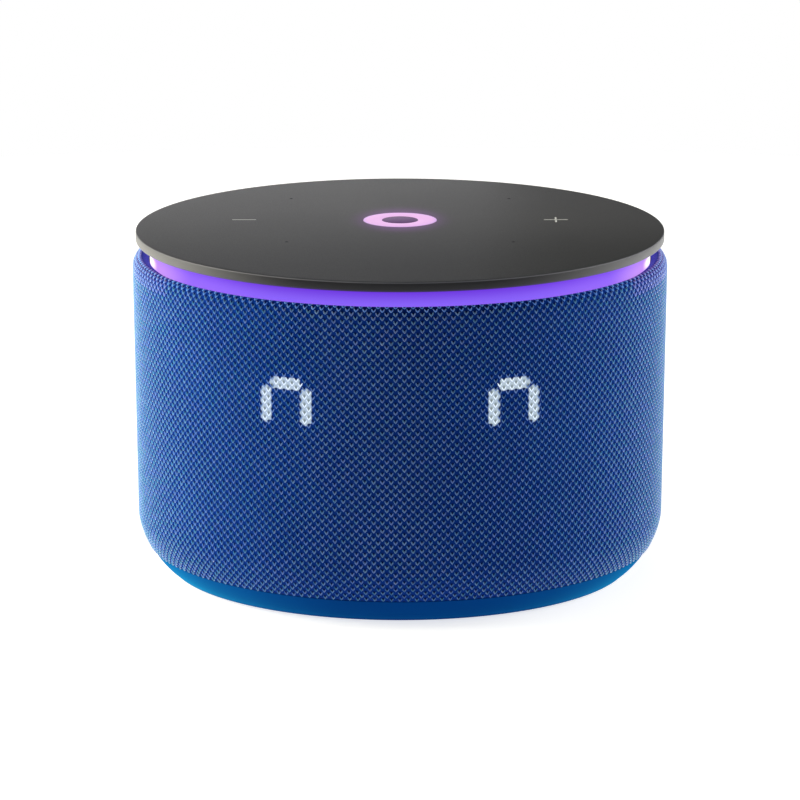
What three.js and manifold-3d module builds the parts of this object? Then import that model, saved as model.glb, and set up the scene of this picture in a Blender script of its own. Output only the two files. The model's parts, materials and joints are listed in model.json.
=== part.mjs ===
// Round fabric-covered smart speaker with a hidden four-digit segment display.
// Millimetres, +Z up, front towards -Y, origin at the centre of the footprint.

import * as THREE from 'three';
import { mergeVertices } from 'three/addons/utils/BufferGeometryUtils.js';
import Module from 'manifold-3d';

const wasm = await Module();
wasm.setup();

// ---------------------------------------------------------------- driving dimensions

const BODY_RADIUS = 81.0;          // fabric, at the shoulder
const HEIGHT = 105.0;
const FIT = 0.3;                   // clearance between neighbouring pieces

// outline of the body
const SHOULDER_Z = 94.0;           // straight wall ends, shoulder starts
const SHOULDER_DROP_R = 2.5;       // how far the shoulder rounds inwards
const FABRIC_TOP_Z = 97.3;
const CORNER_TOP_Z = 17.8;         // bottom corner starts
const CORNER_RADIAL = 12.3;
const CORNER_POWER = 1.586;        // superellipse exponent of the bottom corner
const WALL_TAPER = 1.0;            // radius lost from shoulder to bottom corner
const FABRIC_BOTTOM_Z = 8.4;
const FABRIC_THICK = 0.7;

// top plate
const PLATE_RADIUS = 80.25;
const PLATE_THICK = 3.0;
const PLATE_CHAMFER = 0.4;
const PRINT_THICK = 0.05;          // printed marks stand this proud
const PLATE_TOP_Z = HEIGHT - PRINT_THICK;
const PLATE_BOTTOM_Z = PLATE_TOP_Z - PLATE_THICK;
const POCKET_RADIUS = 74.0;
const POCKET_Z = PLATE_BOTTOM_Z + 1.1;
const LAYOUT_Y = 12.5;             // centre of the touch layout, behind the plate's centre
const MARK_RADIUS = 47.7;          // minus and plus marks
const MARK_LENGTH = 7.4;
const MARK_WIDTH = 0.5;
const MIC_OFFSET = 34.0;
const MIC_HOLE_RADIUS = 0.4;
const ICON_RADIUS = 11.2;
const ICON_INNER_RADIUS = 5.6;
const ICON_DEPTH = 1.2;            // the cap sits this deep in the lens

// touch board under the plate
const TOUCH_BOARD_RADIUS = 66.0;
const TOUCH_BOARD_THICK = 1.2;
const TOUCH_BOARD_Z = 99.4;
const TOUCH_BOARD_TOP = TOUCH_BOARD_Z + TOUCH_BOARD_THICK;
const BOSS_RADIUS = 62.5;          // circle of the three screws
const BOSS_WALL_INNER = 60.6;
const BOSS_WALL_OUTER = 64.4;
const GASKET_INNER = 1.0;
const GASKET_OUTER = 3.0;

// light ring
const LIGHT_RADIUS = 76.0;
const LIGHT_WALL = 2.4;
const LIGHT_BOTTOM_Z = 95.2;
const LIGHT_COVE = 0.5;             // chamfer under the plate
const RING_LED_COUNT = 12;
const RING_STRIP_INNER = 69.2;
const RING_STRIP_OUTER = 72.2;
const RING_STRIP_Z = 96.5;

// shells
const GRILLE_THICK = 2.2;
const GRILLE_TOP_Z = 96.2;
const LEDGE_Z = 88.4;
const LEDGE_INNER = 73.6;
const FRAME_RADIUS = 76.4;         // upper frame, standing on the ledge
const FRAME_WALL = 2.2;
const FRAME_OPENING = 34.0;
const SLOT_COLUMNS = 16;           // each slot falls in the middle of one flat of the shell
const SLOT_WIDTH = 8.5;
const BASE_BOTTOM_Z = 0.8;
const SPIGOT_TOP_Z = 22.0;
const COVER_RADIUS = 65.7;
const COVER_Z = 1.2;
const COVER_THICK = 2.0;
const FLANGE_INNER = 57.0;
const FLANGE_THICK = 2.2;
const SPIGOT_THICK = 2.2;
const BASE_SCREW_RADIUS = 61.0;    // circle of the four screws
const FOOT_OUTER = 56.0;
const FOOT_INNER = 48.0;

// rear port panel
const PANEL_WIDTH = 52.0;
const PANEL_Z = 30.0;
const PANEL_HEIGHT = 22.0;
const PANEL_CORNER = 6.0;
const PORT_X = -10.0;
const BUTTON_X = 10.0;
const PORT_Z = PANEL_Z + PANEL_HEIGHT / 2;
const BUTTON_RADIUS = 4.2;
const BUTTON_FACE_Y = 80.6;
const BUTTON_FLANGE_RADIUS = 5.4;
const BUTTON_FLANGE_Y = 67.4;
const PORT_BLOCK_Y = 66.0;
const PORT_BLOCK_OUTER_Y = 78.2;
const PORT_BOARD_Y = 63.5;
const RECESS_Y = 73.5;             // floor of the plug recess
const RECESS_WIDTH = 13.4;
const RECESS_HEIGHT = 7.6;
const SOCKET_WIDTH = 9.0;
const SOCKET_HEIGHT = 3.3;
const SOCKET_Y = 65.4;
const SOCKET_WALL = 0.3;
const TONGUE_WIDTH = 6.7;
const TONGUE_THICK = 0.7;

// segment display
const DIGIT_ANGLES = [-24.5, -8.17, 8.17, 24.5];
const DISPLAY_HALF_ANGLE = 33.0;
const DISPLAY_Z = 60.9;
const DIGIT_HALF_HEIGHT = 14.2;
const SEGMENT_V_OFFSET = 6.45;
const SEGMENT_V_LENGTH = 11.0;
const SEGMENT_H_LENGTH = 10.0;
const SEGMENT_WIDTH = 3.2;
const SEGMENT_GAP = 0.4;
const WINDOW_HALF_HEIGHT = 17.0;
const MASK_INNER = 76.4;           // layers behind the display window, by radius
const MASK_OUTER = 79.2;
const DIFFUSER_INNER = 75.3;
const DIFFUSER_OUTER = 76.0;
const DISPLAY_BOARD_INNER = 72.4;
const DISPLAY_BOARD_OUTER = 73.6;
const DISPLAY_LED_SIZE = 2.2;

// speaker enclosure and drivers
const BOX_RADIUS = 60.0;
const BOX_FLAT_X = 52.0;
const BOX_WALL = 2.4;
const BOX_Z = 24.0;
const BOX_HEIGHT = 54.0;
const LID_THICK = 3.0;
const LID_GAP = 0.9;               // filled by the gasket
const WOOFER_HOLE = 35.0;
const WOOFER_RADIUS = 40.0;
const CONE_RADIUS = 28.0;
const COIL_RADIUS = 10.0;
const COIL_TOP_Z = 50.0;
const MAGNET_RADIUS = 26.0;
const MAGNET_HOLE = 13.0;
const MAGNET_Z = 46.1;
const MAGNET_HEIGHT = 8.9;
const DEFLECTOR_RADIUS = 50.0;
const DEFLECTOR_Z = 5.6;
const RADIATOR_Z = 51.0;
const RADIATOR_RADIUS = 16.0;
const RADIATOR_HOLE = 21.0;
const RADIATOR_FRAME_RADIUS = 25.0;
const TWEETER_ANGLE = 50.0;
const TWEETER_RADIUS = 12.5;
const TWEETER_BACK_RADIUS = 8.0;
const TWEETER_DOME_RADIUS = 7.0;

// electronics
const BOARD_THICK = 1.6;
const BOARD_Z = 82.5;
const BOARD_WIDTH = 88.0;
const BOARD_DEPTH = 64.0;
const SINK_WIDTH = 30.0;
const SINK_DEPTH = 24.0;
const FIN_PITCH = 6.0;
const CABLE_THICK = 0.35;

// mesh fineness
const OUTER_SIDES = 48;
const INNER_SIDES = 32;
const DRIVER_SIDES = 20;
const SMALL_SIDES = 8;

// ---------------------------------------------------------------- materials

function finish(color, roughness, metalness = 0) {
  return new THREE.MeshStandardMaterial({ color, roughness, metalness });
}

const FABRIC = finish(0x1d4f9c, 0.95);
const BLUE_PLASTIC = finish(0x0b4fa8, 0.45);
const DARK_PLASTIC = finish(0x3a3a3c, 0.5);
const BLACK_PLASTIC = finish(0x17181a, 0.6);
const VIOLET_LIGHT = finish(0x8a5cf0, 0.4);
const PINK_LIGHT = finish(0xf6b8f8, 0.4);
const WHITE_PRINT = finish(0xd8d8da, 0.6);
const WHITE_PLASTIC = finish(0xe8eaec, 0.5);
const RUBBER = finish(0x202124, 0.9);
const BOARD = finish(0x14502f, 0.6);
const STEEL = finish(0xb4b8bc, 0.35, 0.9);
const ALUMINIUM = finish(0xc8cacc, 0.4, 0.9);
const PAPER = finish(0x242628, 0.85);
const FERRITE = finish(0x2c2c2e, 0.7);
const FLAT_CABLE = finish(0xe6e2d6, 0.6);

// ---------------------------------------------------------------- geometry helpers

const rad = THREE.MathUtils.degToRad;

/** Merges shared vertices, drops flat triangles and turns the faces outwards. */
function weld(geometry) {
  let work = geometry.clone();
  work.deleteAttribute('normal');
  work.deleteAttribute('uv');
  work = mergeVertices(work, 1e-4);
  const index = [...work.index.array];
  const position = work.attributes.position;
  const kept = [];
  let volume = 0;
  const [a, b, c] = [new THREE.Vector3(), new THREE.Vector3(), new THREE.Vector3()];
  for (let i = 0; i < index.length; i += 3) {
    const [p, q, r] = index.slice(i, i + 3);
    if (p === q || q === r || r === p) continue;
    kept.push([p, q, r]);
    a.fromBufferAttribute(position, p);
    b.fromBufferAttribute(position, q);
    c.fromBufferAttribute(position, r);
    volume += a.dot(b.cross(c));
  }
  const outward = volume > 0 ? kept : kept.map(([p, q, r]) => [p, r, q]);
  work.setIndex(outward.flat());
  return work;
}

/** Closed geometry to a solid that can be cut and joined. */
function solid(geometry) {
  const work = weld(geometry);
  return new wasm.Manifold(new wasm.Mesh({
    numProp: 3,
    vertProperties: new Float32Array(work.attributes.position.array),
    triVerts: new Uint32Array(work.index.array),
  }));
}

/** Solid back to a geometry. */
function shape(manifold) {
  const mesh = manifold.getMesh();
  const geometry = new THREE.BufferGeometry();
  geometry.setAttribute('position', new THREE.BufferAttribute(mesh.vertProperties, 3));
  geometry.setIndex(new THREE.BufferAttribute(mesh.triVerts, 1));
  return geometry;
}

/** Turned piece about Z from a closed outline of [radius, z] points. */
function turned(outline, sides = INNER_SIDES) {
  const onAxis = outline[0][0] === 0;
  const points = (onAxis ? outline : [...outline, outline[0]])
    .map(([r, z]) => new THREE.Vector2(r, z));
  return new THREE.LatheGeometry(points, sides).rotateX(Math.PI / 2);
}

/** Flat ring or disc between two heights. */
function washer(inner, outer, low, high, sides = INNER_SIDES) {
  return turned([[inner, low], [outer, low], [outer, high], [inner, high]], sides);
}

/** Box given by its width, depth and height and the centre of its underside. */
function block(width, depth, height, x, y, z) {
  return new THREE.BoxGeometry(width, depth, height).translate(x, y, z + height / 2);
}

/** Upright cylinder given by the centre of its underside. */
function post(radius, height, x, y, z, sides = SMALL_SIDES) {
  return new THREE.CylinderGeometry(radius, radius, height, sides)
    .rotateX(Math.PI / 2)
    .translate(x, y, z + height / 2);
}

/** Plate of a flat outline, raised along Z. */
function plate(outline, low, high, curveSegments = 8) {
  return new THREE.ExtrudeGeometry(outline, {
    depth: high - low, bevelEnabled: false, curveSegments,
  }).translate(0, 0, low);
}

/** Places something drawn facing +Z so that it faces outwards at an angle from the front. */
function facing(degrees, radius, height) {
  const angle = rad(degrees);
  const outward = new THREE.Vector3(Math.sin(angle), -Math.cos(angle), 0);
  const along = new THREE.Vector3(Math.cos(angle), Math.sin(angle), 0);
  const up = new THREE.Vector3(0, 0, 1);
  return new THREE.Matrix4()
    .makeBasis(along, up, outward)
    .setPosition(outward.clone().multiplyScalar(radius).setZ(height));
}

function roundedRect(width, height, corner) {
  const [w, h] = [width / 2, height / 2];
  const outline = new THREE.Shape();
  outline.moveTo(-w + corner, -h);
  outline.lineTo(w - corner, -h);
  outline.absarc(w - corner, -h + corner, corner, -Math.PI / 2, 0);
  outline.lineTo(w, h - corner);
  outline.absarc(w - corner, h - corner, corner, 0, Math.PI / 2);
  outline.lineTo(-w + corner, h);
  outline.absarc(-w + corner, h - corner, corner, Math.PI / 2, Math.PI);
  outline.lineTo(-w, -h + corner);
  outline.absarc(-w + corner, -h + corner, corner, Math.PI, 1.5 * Math.PI);
  return outline;
}

/** Joins all the given geometries or solids to the first. */
function join(...pieces) {
  return pieces.map((p) => (p.isBufferGeometry ? solid(p) : p)).reduce((sum, p) => sum.add(p));
}

/** Cuts the given geometries or solids from the first. */
function cut(body, ...tools) {
  const start = body.isBufferGeometry ? solid(body) : body;
  return tools.reduce((rest, t) => rest.subtract(t.isBufferGeometry ? solid(t) : t), start);
}

const object = new THREE.Group();

/** Adds a named sub-part made of a geometry or a solid. */
function add(name, piece, material) {
  const geometry = piece.isBufferGeometry ? weld(piece) : shape(piece);
  geometry.computeVertexNormals();
  const mesh = new THREE.Mesh(geometry, material.clone());
  mesh.name = name;
  object.add(mesh);
  return mesh;
}

// ---------------------------------------------------------------- outline of the body

/** Outer radius of the fabric and base at a height. */
function bodyRadius(z) {
  const wallFoot = BODY_RADIUS - WALL_TAPER;
  if (z >= SHOULDER_Z) {
    const t = Math.min(1, (z - SHOULDER_Z) / (FABRIC_TOP_Z - SHOULDER_Z));
    return BODY_RADIUS - SHOULDER_DROP_R * (1 - Math.sqrt(1 - t * t));
  }
  if (z >= CORNER_TOP_Z) {
    return wallFoot + WALL_TAPER * (z - CORNER_TOP_Z) / (SHOULDER_Z - CORNER_TOP_Z);
  }
  const s = ((CORNER_TOP_Z - z) / CORNER_TOP_Z) ** (CORNER_POWER / 2);
  const c = Math.sqrt(Math.max(0, 1 - s * s));
  return wallFoot - CORNER_RADIAL * (1 - c ** (2 / CORNER_POWER));
}

/** Points of the body's outline moved inwards by an inset, between listed heights. */
function wall(heights, inset) {
  return heights.map((z) => [bodyRadius(z) - inset, z]);
}

// ---------------------------------------------------------------- top plate and touch layout

function makeTopPlate() {
  const disc = turned([
    [0, PLATE_TOP_Z],
    [PLATE_RADIUS - PLATE_CHAMFER, PLATE_TOP_Z],
    [PLATE_RADIUS, PLATE_TOP_Z - PLATE_CHAMFER],
    [PLATE_RADIUS, PLATE_BOTTOM_Z + PLATE_CHAMFER],
    [PLATE_RADIUS - PLATE_CHAMFER, PLATE_BOTTOM_Z],
    [POCKET_RADIUS, PLATE_BOTTOM_Z],
    [POCKET_RADIUS, POCKET_Z],
    [0, POCKET_Z],
  ], OUTER_SIDES);
  const iconHole = post(ICON_RADIUS + FIT, 2 * PLATE_THICK, 0, LAYOUT_Y, POCKET_Z - 1, INNER_SIDES);
  const micHoles = micPlaces().map(([x, y]) => (
    post(MIC_HOLE_RADIUS, 2 * PLATE_THICK, x, y, POCKET_Z - 1)));
  add('top_plate', cut(disc, iconHole, ...micHoles), DARK_PLASTIC);
}

function micPlaces() {
  const places = [];
  for (const side of [-1, 1]) {
    for (const end of [-1, 1]) places.push([side * MIC_OFFSET, LAYOUT_Y + end * MIC_OFFSET]);
  }
  return places;
}

function makeIcon() {
  const floor = PLATE_TOP_Z - ICON_DEPTH;
  const lens = turned([
    [0, POCKET_Z], [ICON_RADIUS, POCKET_Z], [ICON_RADIUS, PLATE_TOP_Z],
    [ICON_INNER_RADIUS, PLATE_TOP_Z], [ICON_INNER_RADIUS, floor], [0, floor],
  ]).translate(0, LAYOUT_Y, 0);
  add('icon_ring_lens', lens, PINK_LIGHT);
  const cap = post(ICON_INNER_RADIUS - FIT, ICON_DEPTH - 0.1, 0, LAYOUT_Y, floor + 0.1, INNER_SIDES);
  add('icon_centre_cap', cap, DARK_PLASTIC);
}

function makeMarks() {
  const bar = (width, depth, x) => block(width, depth, PRINT_THICK, x, LAYOUT_Y, PLATE_TOP_Z);
  add('minus_mark', bar(MARK_LENGTH, MARK_WIDTH, -MARK_RADIUS), WHITE_PRINT);
  const plus = join(
    bar(MARK_LENGTH, MARK_WIDTH, MARK_RADIUS),
    bar(MARK_WIDTH, MARK_LENGTH, MARK_RADIUS),
  );
  add('plus_mark', plus, WHITE_PRINT);
}

/** Places n fasteners evenly on a circle, starting at a given angle. */
function onCircle(n, radius, startDegrees) {
  return Array.from({ length: n }, (_, i) => {
    const angle = rad(startDegrees + i * 360 / n);
    return [radius * Math.cos(angle), radius * Math.sin(angle)];
  });
}

function makeTouchBoard() {
  const disc = post(TOUCH_BOARD_RADIUS, TOUCH_BOARD_THICK, 0, 0, TOUCH_BOARD_Z, INNER_SIDES);
  const holes = onCircle(3, BOSS_RADIUS, 30).map(([x, y]) => post(1.8, 4, x, y, TOUCH_BOARD_Z - 1));
  const mics = micPlaces().map(([x, y]) => block(3.5, 2.65, 1.0, x, y, TOUCH_BOARD_Z - 0.9));
  add('touch_board', join(cut(disc, ...holes), ...mics), BOARD);
  micPlaces().forEach(([x, y], i) => {
    const gasket = washer(
      GASKET_INNER, GASKET_OUTER, TOUCH_BOARD_TOP + 0.1, POCKET_Z - 0.1, SMALL_SIDES);
    add(`microphone_gasket_${i + 1}`, gasket.translate(x, y, 0), RUBBER);
  });
  const guide = washer(
    ICON_INNER_RADIUS, ICON_RADIUS, TOUCH_BOARD_TOP + 0.2, POCKET_Z - 0.2, DRIVER_SIDES);
  add('icon_light_guide', guide.translate(0, LAYOUT_Y, 0), WHITE_PLASTIC);
  onCircle(3, BOSS_RADIUS, 30).forEach(([x, y], i) => {
    const fastener = screw(1.2, 2.6, TOUCH_BOARD_TOP, 6, 1).translate(x, y, 0);
    add(`touch_board_screw_${i + 1}`, fastener, STEEL);
  });
}

/** Screw with its head on one side of z: headUp 1 puts the head above, -1 below. */
function screw(shankRadius, headRadius, z, length, headUp) {
  const head = 1.0 * headUp;
  return turned([
    [0, z + head], [headRadius, z + head], [headRadius, z],
    [shankRadius, z], [shankRadius, z - length * headUp], [0, z - length * headUp],
  ], SMALL_SIDES);
}

// ---------------------------------------------------------------- light ring

function makeLightRing() {
  const inner = LIGHT_RADIUS - LIGHT_WALL;
  const top = PLATE_BOTTOM_Z - FIT / 2;
  add('light_ring_diffuser', turned([
    [inner, LIGHT_BOTTOM_Z],
    [LIGHT_RADIUS, LIGHT_BOTTOM_Z],
    [LIGHT_RADIUS, top - LIGHT_COVE],
    [LIGHT_RADIUS - LIGHT_COVE, top],
    [inner, top],
  ], OUTER_SIDES), VIOLET_LIGHT);

  const ledTop = inner - FIT;
  const ledBack = RING_STRIP_OUTER - 0.7;
  const circuit = washer(RING_STRIP_INNER, RING_STRIP_OUTER, RING_STRIP_Z, RING_STRIP_Z + 1);
  const leds = Array.from({ length: RING_LED_COUNT }, (_, i) => {
    const led = new THREE.BoxGeometry(3, 1.4, ledTop - ledBack);
    const angle = (i + 0.5) * 360 / RING_LED_COUNT;
    return led.applyMatrix4(facing(angle, (ledTop + ledBack) / 2, RING_STRIP_Z + 1.5));
  });
  add('light_ring_board', join(circuit, ...leds), BOARD);
}

function makeUpperFrame() {
  const floor = LEDGE_Z + 0.1;
  const deck = floor + FRAME_WALL;
  const ringSeat = LIGHT_BOTTOM_Z - 0.1;
  const boardSeat = RING_STRIP_Z - 0.1;
  const bossTop = TOUCH_BOARD_Z - 0.1;
  const seatInner = FRAME_RADIUS - 3.8;
  const boardWall = [RING_STRIP_INNER - 0.4, RING_STRIP_INNER + 1.2];
  const dish = turned([
    [FRAME_OPENING, floor], [FRAME_RADIUS, floor],
    [FRAME_RADIUS, ringSeat], [seatInner, ringSeat], [seatInner, deck],
    [boardWall[1], deck], [boardWall[1], boardSeat], [boardWall[0], boardSeat], [boardWall[0], deck],
    [BOSS_WALL_OUTER, deck], [BOSS_WALL_OUTER, bossTop],
    [BOSS_WALL_INNER, bossTop], [BOSS_WALL_INNER, deck],
    [FRAME_OPENING, deck],
  ]);
  const touchHoles = onCircle(3, BOSS_RADIUS, 30).map(([x, y]) => post(1.5, 8, x, y, deck + 2.3));
  add('upper_frame', cut(dish, ...touchHoles), BLACK_PLASTIC);
}

// ---------------------------------------------------------------- fabric, grille and base

const panelOutline = (grow) => roundedRect(
  PANEL_WIDTH + 2 * grow, PANEL_HEIGHT + 2 * grow, PANEL_CORNER + grow);

/** Prism of the rear panel's outline, long enough to pass through the rear wall. */
function panelPrism(grow, from, to) {
  return plate(panelOutline(grow), 0, to - from, 3).applyMatrix4(facing(180, from, PORT_Z));
}

function makeFabric() {
  const low = FABRIC_BOTTOM_Z;
  const edge = BODY_RADIUS - SHOULDER_DROP_R;
  const turnedIn = edge - 0.9;
  const lip = [
    [edge, FABRIC_TOP_Z], [turnedIn, FABRIC_TOP_Z], [turnedIn, FABRIC_TOP_Z - FABRIC_THICK],
  ];
  const sleeve = turned([
    ...wall([low, 12, CORNER_TOP_Z, SHOULDER_Z, 96], 0),
    ...lip,
    ...wall([95.8, SHOULDER_Z, CORNER_TOP_Z, 12, low], FABRIC_THICK),
  ], OUTER_SIDES);
  add('fabric_sleeve', cut(sleeve, panelPrism(FIT, 60, 90)), FABRIC);
}

const GRILLE_INSET = FABRIC_THICK + FIT;

function makeGrille() {
  const inner = GRILLE_INSET + GRILLE_THICK;
  const rimInner = FRAME_RADIUS + 0.5;
  const ledgeFoot = 84;
  const shell = turned([
    ...wall([FABRIC_BOTTOM_Z + 0.2, 12, CORNER_TOP_Z, SHOULDER_Z], GRILLE_INSET),
    [rimInner + 1.9, GRILLE_TOP_Z - 0.8], [rimInner + 1, GRILLE_TOP_Z],
    [rimInner, GRILLE_TOP_Z], [rimInner, LEDGE_Z],
    [LEDGE_INNER, LEDGE_Z], [LEDGE_INNER, LEDGE_Z - 2], [bodyRadius(ledgeFoot) - inner, ledgeFoot],
    ...wall([CORNER_TOP_Z, 12, FABRIC_BOTTOM_Z + 0.2], inner),
  ], OUTER_SIDES);
  const window = sector(70, 85, DISPLAY_Z - WINDOW_HALF_HEIGHT, DISPLAY_Z + WINDOW_HALF_HEIGHT,
    DISPLAY_HALF_ANGLE);
  const slots = [];
  for (let i = 0; i < SLOT_COLUMNS; i += 1) {
    const angle = (i + 0.5) * 360 / SLOT_COLUMNS;
    const behindDisplay = Math.min(angle, 360 - angle) < DISPLAY_HALF_ANGLE + 8;
    const behindPanel = Math.abs(angle - 180) < 28;
    if (!behindPanel) slots.push(slotPrism(angle, 24, behindDisplay ? 40 : 52));
    if (!behindDisplay) slots.push(slotPrism(angle, behindPanel ? 58 : 56, 82));
  }
  add('grille_shell', cut(shell, window, panelPrism(FIT, 60, 90), ...slots), BLACK_PLASTIC);
}

/** Tall slot through the wall at an angle from the front. */
function slotPrism(degrees, low, high) {
  return new THREE.BoxGeometry(SLOT_WIDTH, high - low, 30)
    .applyMatrix4(facing(degrees, 75, (low + high) / 2));
}

/** Curved slab centred on the front, between two radii and two heights. */
function sector(inner, outer, low, high, halfAngle) {
  const outline = new THREE.Shape();
  const start = rad(-90 - halfAngle);
  const end = rad(-90 + halfAngle);
  outline.absarc(0, 0, outer, start, end, false);
  outline.absarc(0, 0, inner, end, start, true);
  return plate(outline, low, high, 10);
}

function makeBase() {
  const spigot = [FABRIC_BOTTOM_Z - 0.2, 13, SPIGOT_TOP_Z];
  const outer = GRILLE_INSET + GRILLE_THICK + FIT;
  const flangeLow = COVER_Z + COVER_THICK + 0.1;
  const flangeTop = flangeLow + FLANGE_THICK;
  const ring = turned([
    ...wall([BASE_BOTTOM_Z, 2, 4.4, FABRIC_BOTTOM_Z - 0.4], 0),
    ...wall(spigot, outer),
    ...wall(spigot.slice(1).reverse(), outer + SPIGOT_THICK),
    [COVER_RADIUS - 1.7, flangeTop], [FLANGE_INNER, flangeTop],
    [FLANGE_INNER, flangeLow], [COVER_RADIUS + FIT, flangeLow],
    [COVER_RADIUS + FIT, BASE_BOTTOM_Z],
  ], OUTER_SIDES);
  const places = onCircle(4, BASE_SCREW_RADIUS, 45);
  const holes = places.map(([x, y]) => post(1.8, 6, x, y, 2));
  add('base_ring', cut(ring, ...holes), BLUE_PLASTIC);

  const disc = post(COVER_RADIUS, COVER_THICK, 0, 0, COVER_Z, INNER_SIDES);
  const counterbores = places.map(([x, y]) => post(3.3, 2, x, y, COVER_Z - 0.8));
  const through = places.map(([x, y]) => post(1.8, 6, x, y, 0));
  add('bottom_cover', cut(disc, ...counterbores, ...through), BLACK_PLASTIC);
  places.forEach(([x, y], i) => {
    const fastener = screw(1.5, 3.0, COVER_Z + 1.1, 6, -1).translate(x, y, 0);
    add(`base_screw_${i + 1}`, fastener, STEEL);
  });
  add('foot_ring', turned([
    [FOOT_INNER, 0.3], [FOOT_INNER + 0.4, 0], [FOOT_OUTER - 0.4, 0], [FOOT_OUTER, 0.3],
    [FOOT_OUTER, COVER_Z - 0.1], [FOOT_INNER, COVER_Z - 0.1],
  ]), RUBBER);
}

// ---------------------------------------------------------------- rear ports and mute button

function rearBlock(width, height, low, high, x) {
  return new THREE.BoxGeometry(width, height, high - low)
    .translate(-x, 0, (high + low) / 2)
    .applyMatrix4(facing(180, 0, PORT_Z));
}

function rearTurned(outline, x, sides = 24) {
  const piece = turned(outline, sides).translate(-x, 0, 0);
  return piece.applyMatrix4(facing(180, 0, PORT_Z));
}

function makeRearPorts() {
  const skin = solid(turned(wall([24, 60], 3.2).concat(wall([60, 24], 0.1)), OUTER_SIDES));
  const panel = join(
    skin.intersect(solid(panelPrism(0, 60, 90))),
    rearBlock(40, 15, PORT_BLOCK_Y, PORT_BLOCK_OUTER_Y, 0),
  );
  const socketHoleWidth = SOCKET_WIDTH + 2 * FIT;
  const socketHoleHeight = SOCKET_HEIGHT + 2 * FIT;
  const flangeTop = BUTTON_FLANGE_Y + 2;
  add('port_panel', cut(
    panel,
    rearBlock(RECESS_WIDTH, RECESS_HEIGHT, RECESS_Y, BODY_RADIUS + 9, PORT_X),
    rearBlock(socketHoleWidth, socketHoleHeight, PORT_BOARD_Y, RECESS_Y + 1, PORT_X),
    rearBore(BUTTON_RADIUS + FIT, BODY_RADIUS + 9),
    rearBore(BUTTON_FLANGE_RADIUS + 0.4, flangeTop + 0.6),
  ), DARK_PLASTIC);

  const mouth = RECESS_Y + 0.5;
  const shell = cut(
    rearBlock(SOCKET_WIDTH, SOCKET_HEIGHT, SOCKET_Y, mouth, PORT_X),
    rearBlock(SOCKET_WIDTH - 2 * SOCKET_WALL, SOCKET_HEIGHT - 0.7, SOCKET_Y + 1, mouth + 1, PORT_X),
  );
  const tongue = rearBlock(TONGUE_WIDTH, TONGUE_THICK, SOCKET_Y + 0.4, mouth - 0.6, PORT_X);
  add('power_socket', join(shell, tongue), STEEL);

  add('port_board', rearBlock(38, 14, PORT_BOARD_Y, PORT_BOARD_Y + BOARD_THICK, 0), BOARD);
  const switchFace = PORT_BOARD_Y + BOARD_THICK + 0.1;
  const stem = [switchFace + 0.3, switchFace + 1.2];
  add('mute_switch', join(
    rearBlock(5, 5, switchFace, switchFace + 0.8, BUTTON_X),
    rearTurned([[0, stem[0]], [1.2, stem[0]], [1.2, stem[1]], [0, stem[1]]], BUTTON_X, SMALL_SIDES),
  ), BLACK_PLASTIC);
  add('mute_button', rearTurned([
    [0, BUTTON_FLANGE_Y], [BUTTON_FLANGE_RADIUS, BUTTON_FLANGE_Y],
    [BUTTON_FLANGE_RADIUS, flangeTop], [BUTTON_RADIUS, flangeTop],
    [BUTTON_RADIUS, BUTTON_FACE_Y - 0.5], [BUTTON_RADIUS - 0.5, BUTTON_FACE_Y],
    [0, BUTTON_FACE_Y - 0.3],
  ], BUTTON_X), DARK_PLASTIC);
}

/** Bore for the mute button, from the port board outwards to a given depth. */
function rearBore(radius, outer) {
  const inner = PORT_BOARD_Y - 3;
  return rearTurned([[0, inner], [radius, inner], [radius, outer], [0, outer]], BUTTON_X);
}

// ---------------------------------------------------------------- segment display

/** Bar with pointed ends, drawn along X or Y about a centre. */
function segmentOutline(length, width, x, y, upright) {
  const half = length / 2;
  const tip = width / 2;
  const corners = [
    [-half, 0], [-half + tip, -tip], [half - tip, -tip],
    [half, 0], [half - tip, tip], [-half + tip, tip],
  ];
  const points = corners.map(([u, v]) => (
    upright ? new THREE.Vector2(x - v, y + u) : new THREE.Vector2(x + u, y + v)));
  return new THREE.Shape(points);
}

/** The seven segments of one digit: places and directions. */
function digitSegments() {
  const barOffset = DIGIT_HALF_HEIGHT - SEGMENT_WIDTH / 2;
  const bars = [-barOffset, 0, barOffset].map((y) => (
    { length: SEGMENT_H_LENGTH, x: 0, y, upright: false }));
  const sideOffset = SEGMENT_GAP + SEGMENT_V_LENGTH / 2;
  const uprights = [-1, 1].flatMap((side) => [-1, 1].map((end) => ({
    length: SEGMENT_V_LENGTH, x: side * SEGMENT_V_OFFSET, y: end * sideOffset, upright: true,
  })));
  return [...bars, ...uprights];
}

function makeDisplay() {
  const low = DISPLAY_Z - WINDOW_HALF_HEIGHT + FIT;
  const high = DISPLAY_Z + WINDOW_HALF_HEIGHT - FIT;
  const slab = (inner, outer) => sector(inner, outer, low, high, DISPLAY_HALF_ANGLE - 0.4);
  const ledDepth = DISPLAY_BOARD_OUTER + 0.3;
  const openings = DIGIT_ANGLES.flatMap((angle) => digitSegments().map((s) => (
    plate(segmentOutline(s.length, SEGMENT_WIDTH, s.x, s.y, s.upright), 0, 12)
      .applyMatrix4(facing(angle, DISPLAY_BOARD_INNER, DISPLAY_Z)))));
  add('segment_mask', cut(slab(MASK_INNER, MASK_OUTER), ...openings), BLACK_PLASTIC);
  add('segment_diffuser', slab(DIFFUSER_INNER, DIFFUSER_OUTER), WHITE_PLASTIC);

  const leds = DIGIT_ANGLES.flatMap((angle) => digitSegments().map((s) => {
    const led = new THREE.BoxGeometry(DISPLAY_LED_SIZE, DISPLAY_LED_SIZE, 1.2);
    return led.translate(s.x, s.y, 0).applyMatrix4(facing(angle, ledDepth, DISPLAY_Z));
  }));
  add('display_board', join(slab(DISPLAY_BOARD_INNER, DISPLAY_BOARD_OUTER), ...leds), BOARD);
}

// ---------------------------------------------------------------- enclosure and drivers

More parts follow.
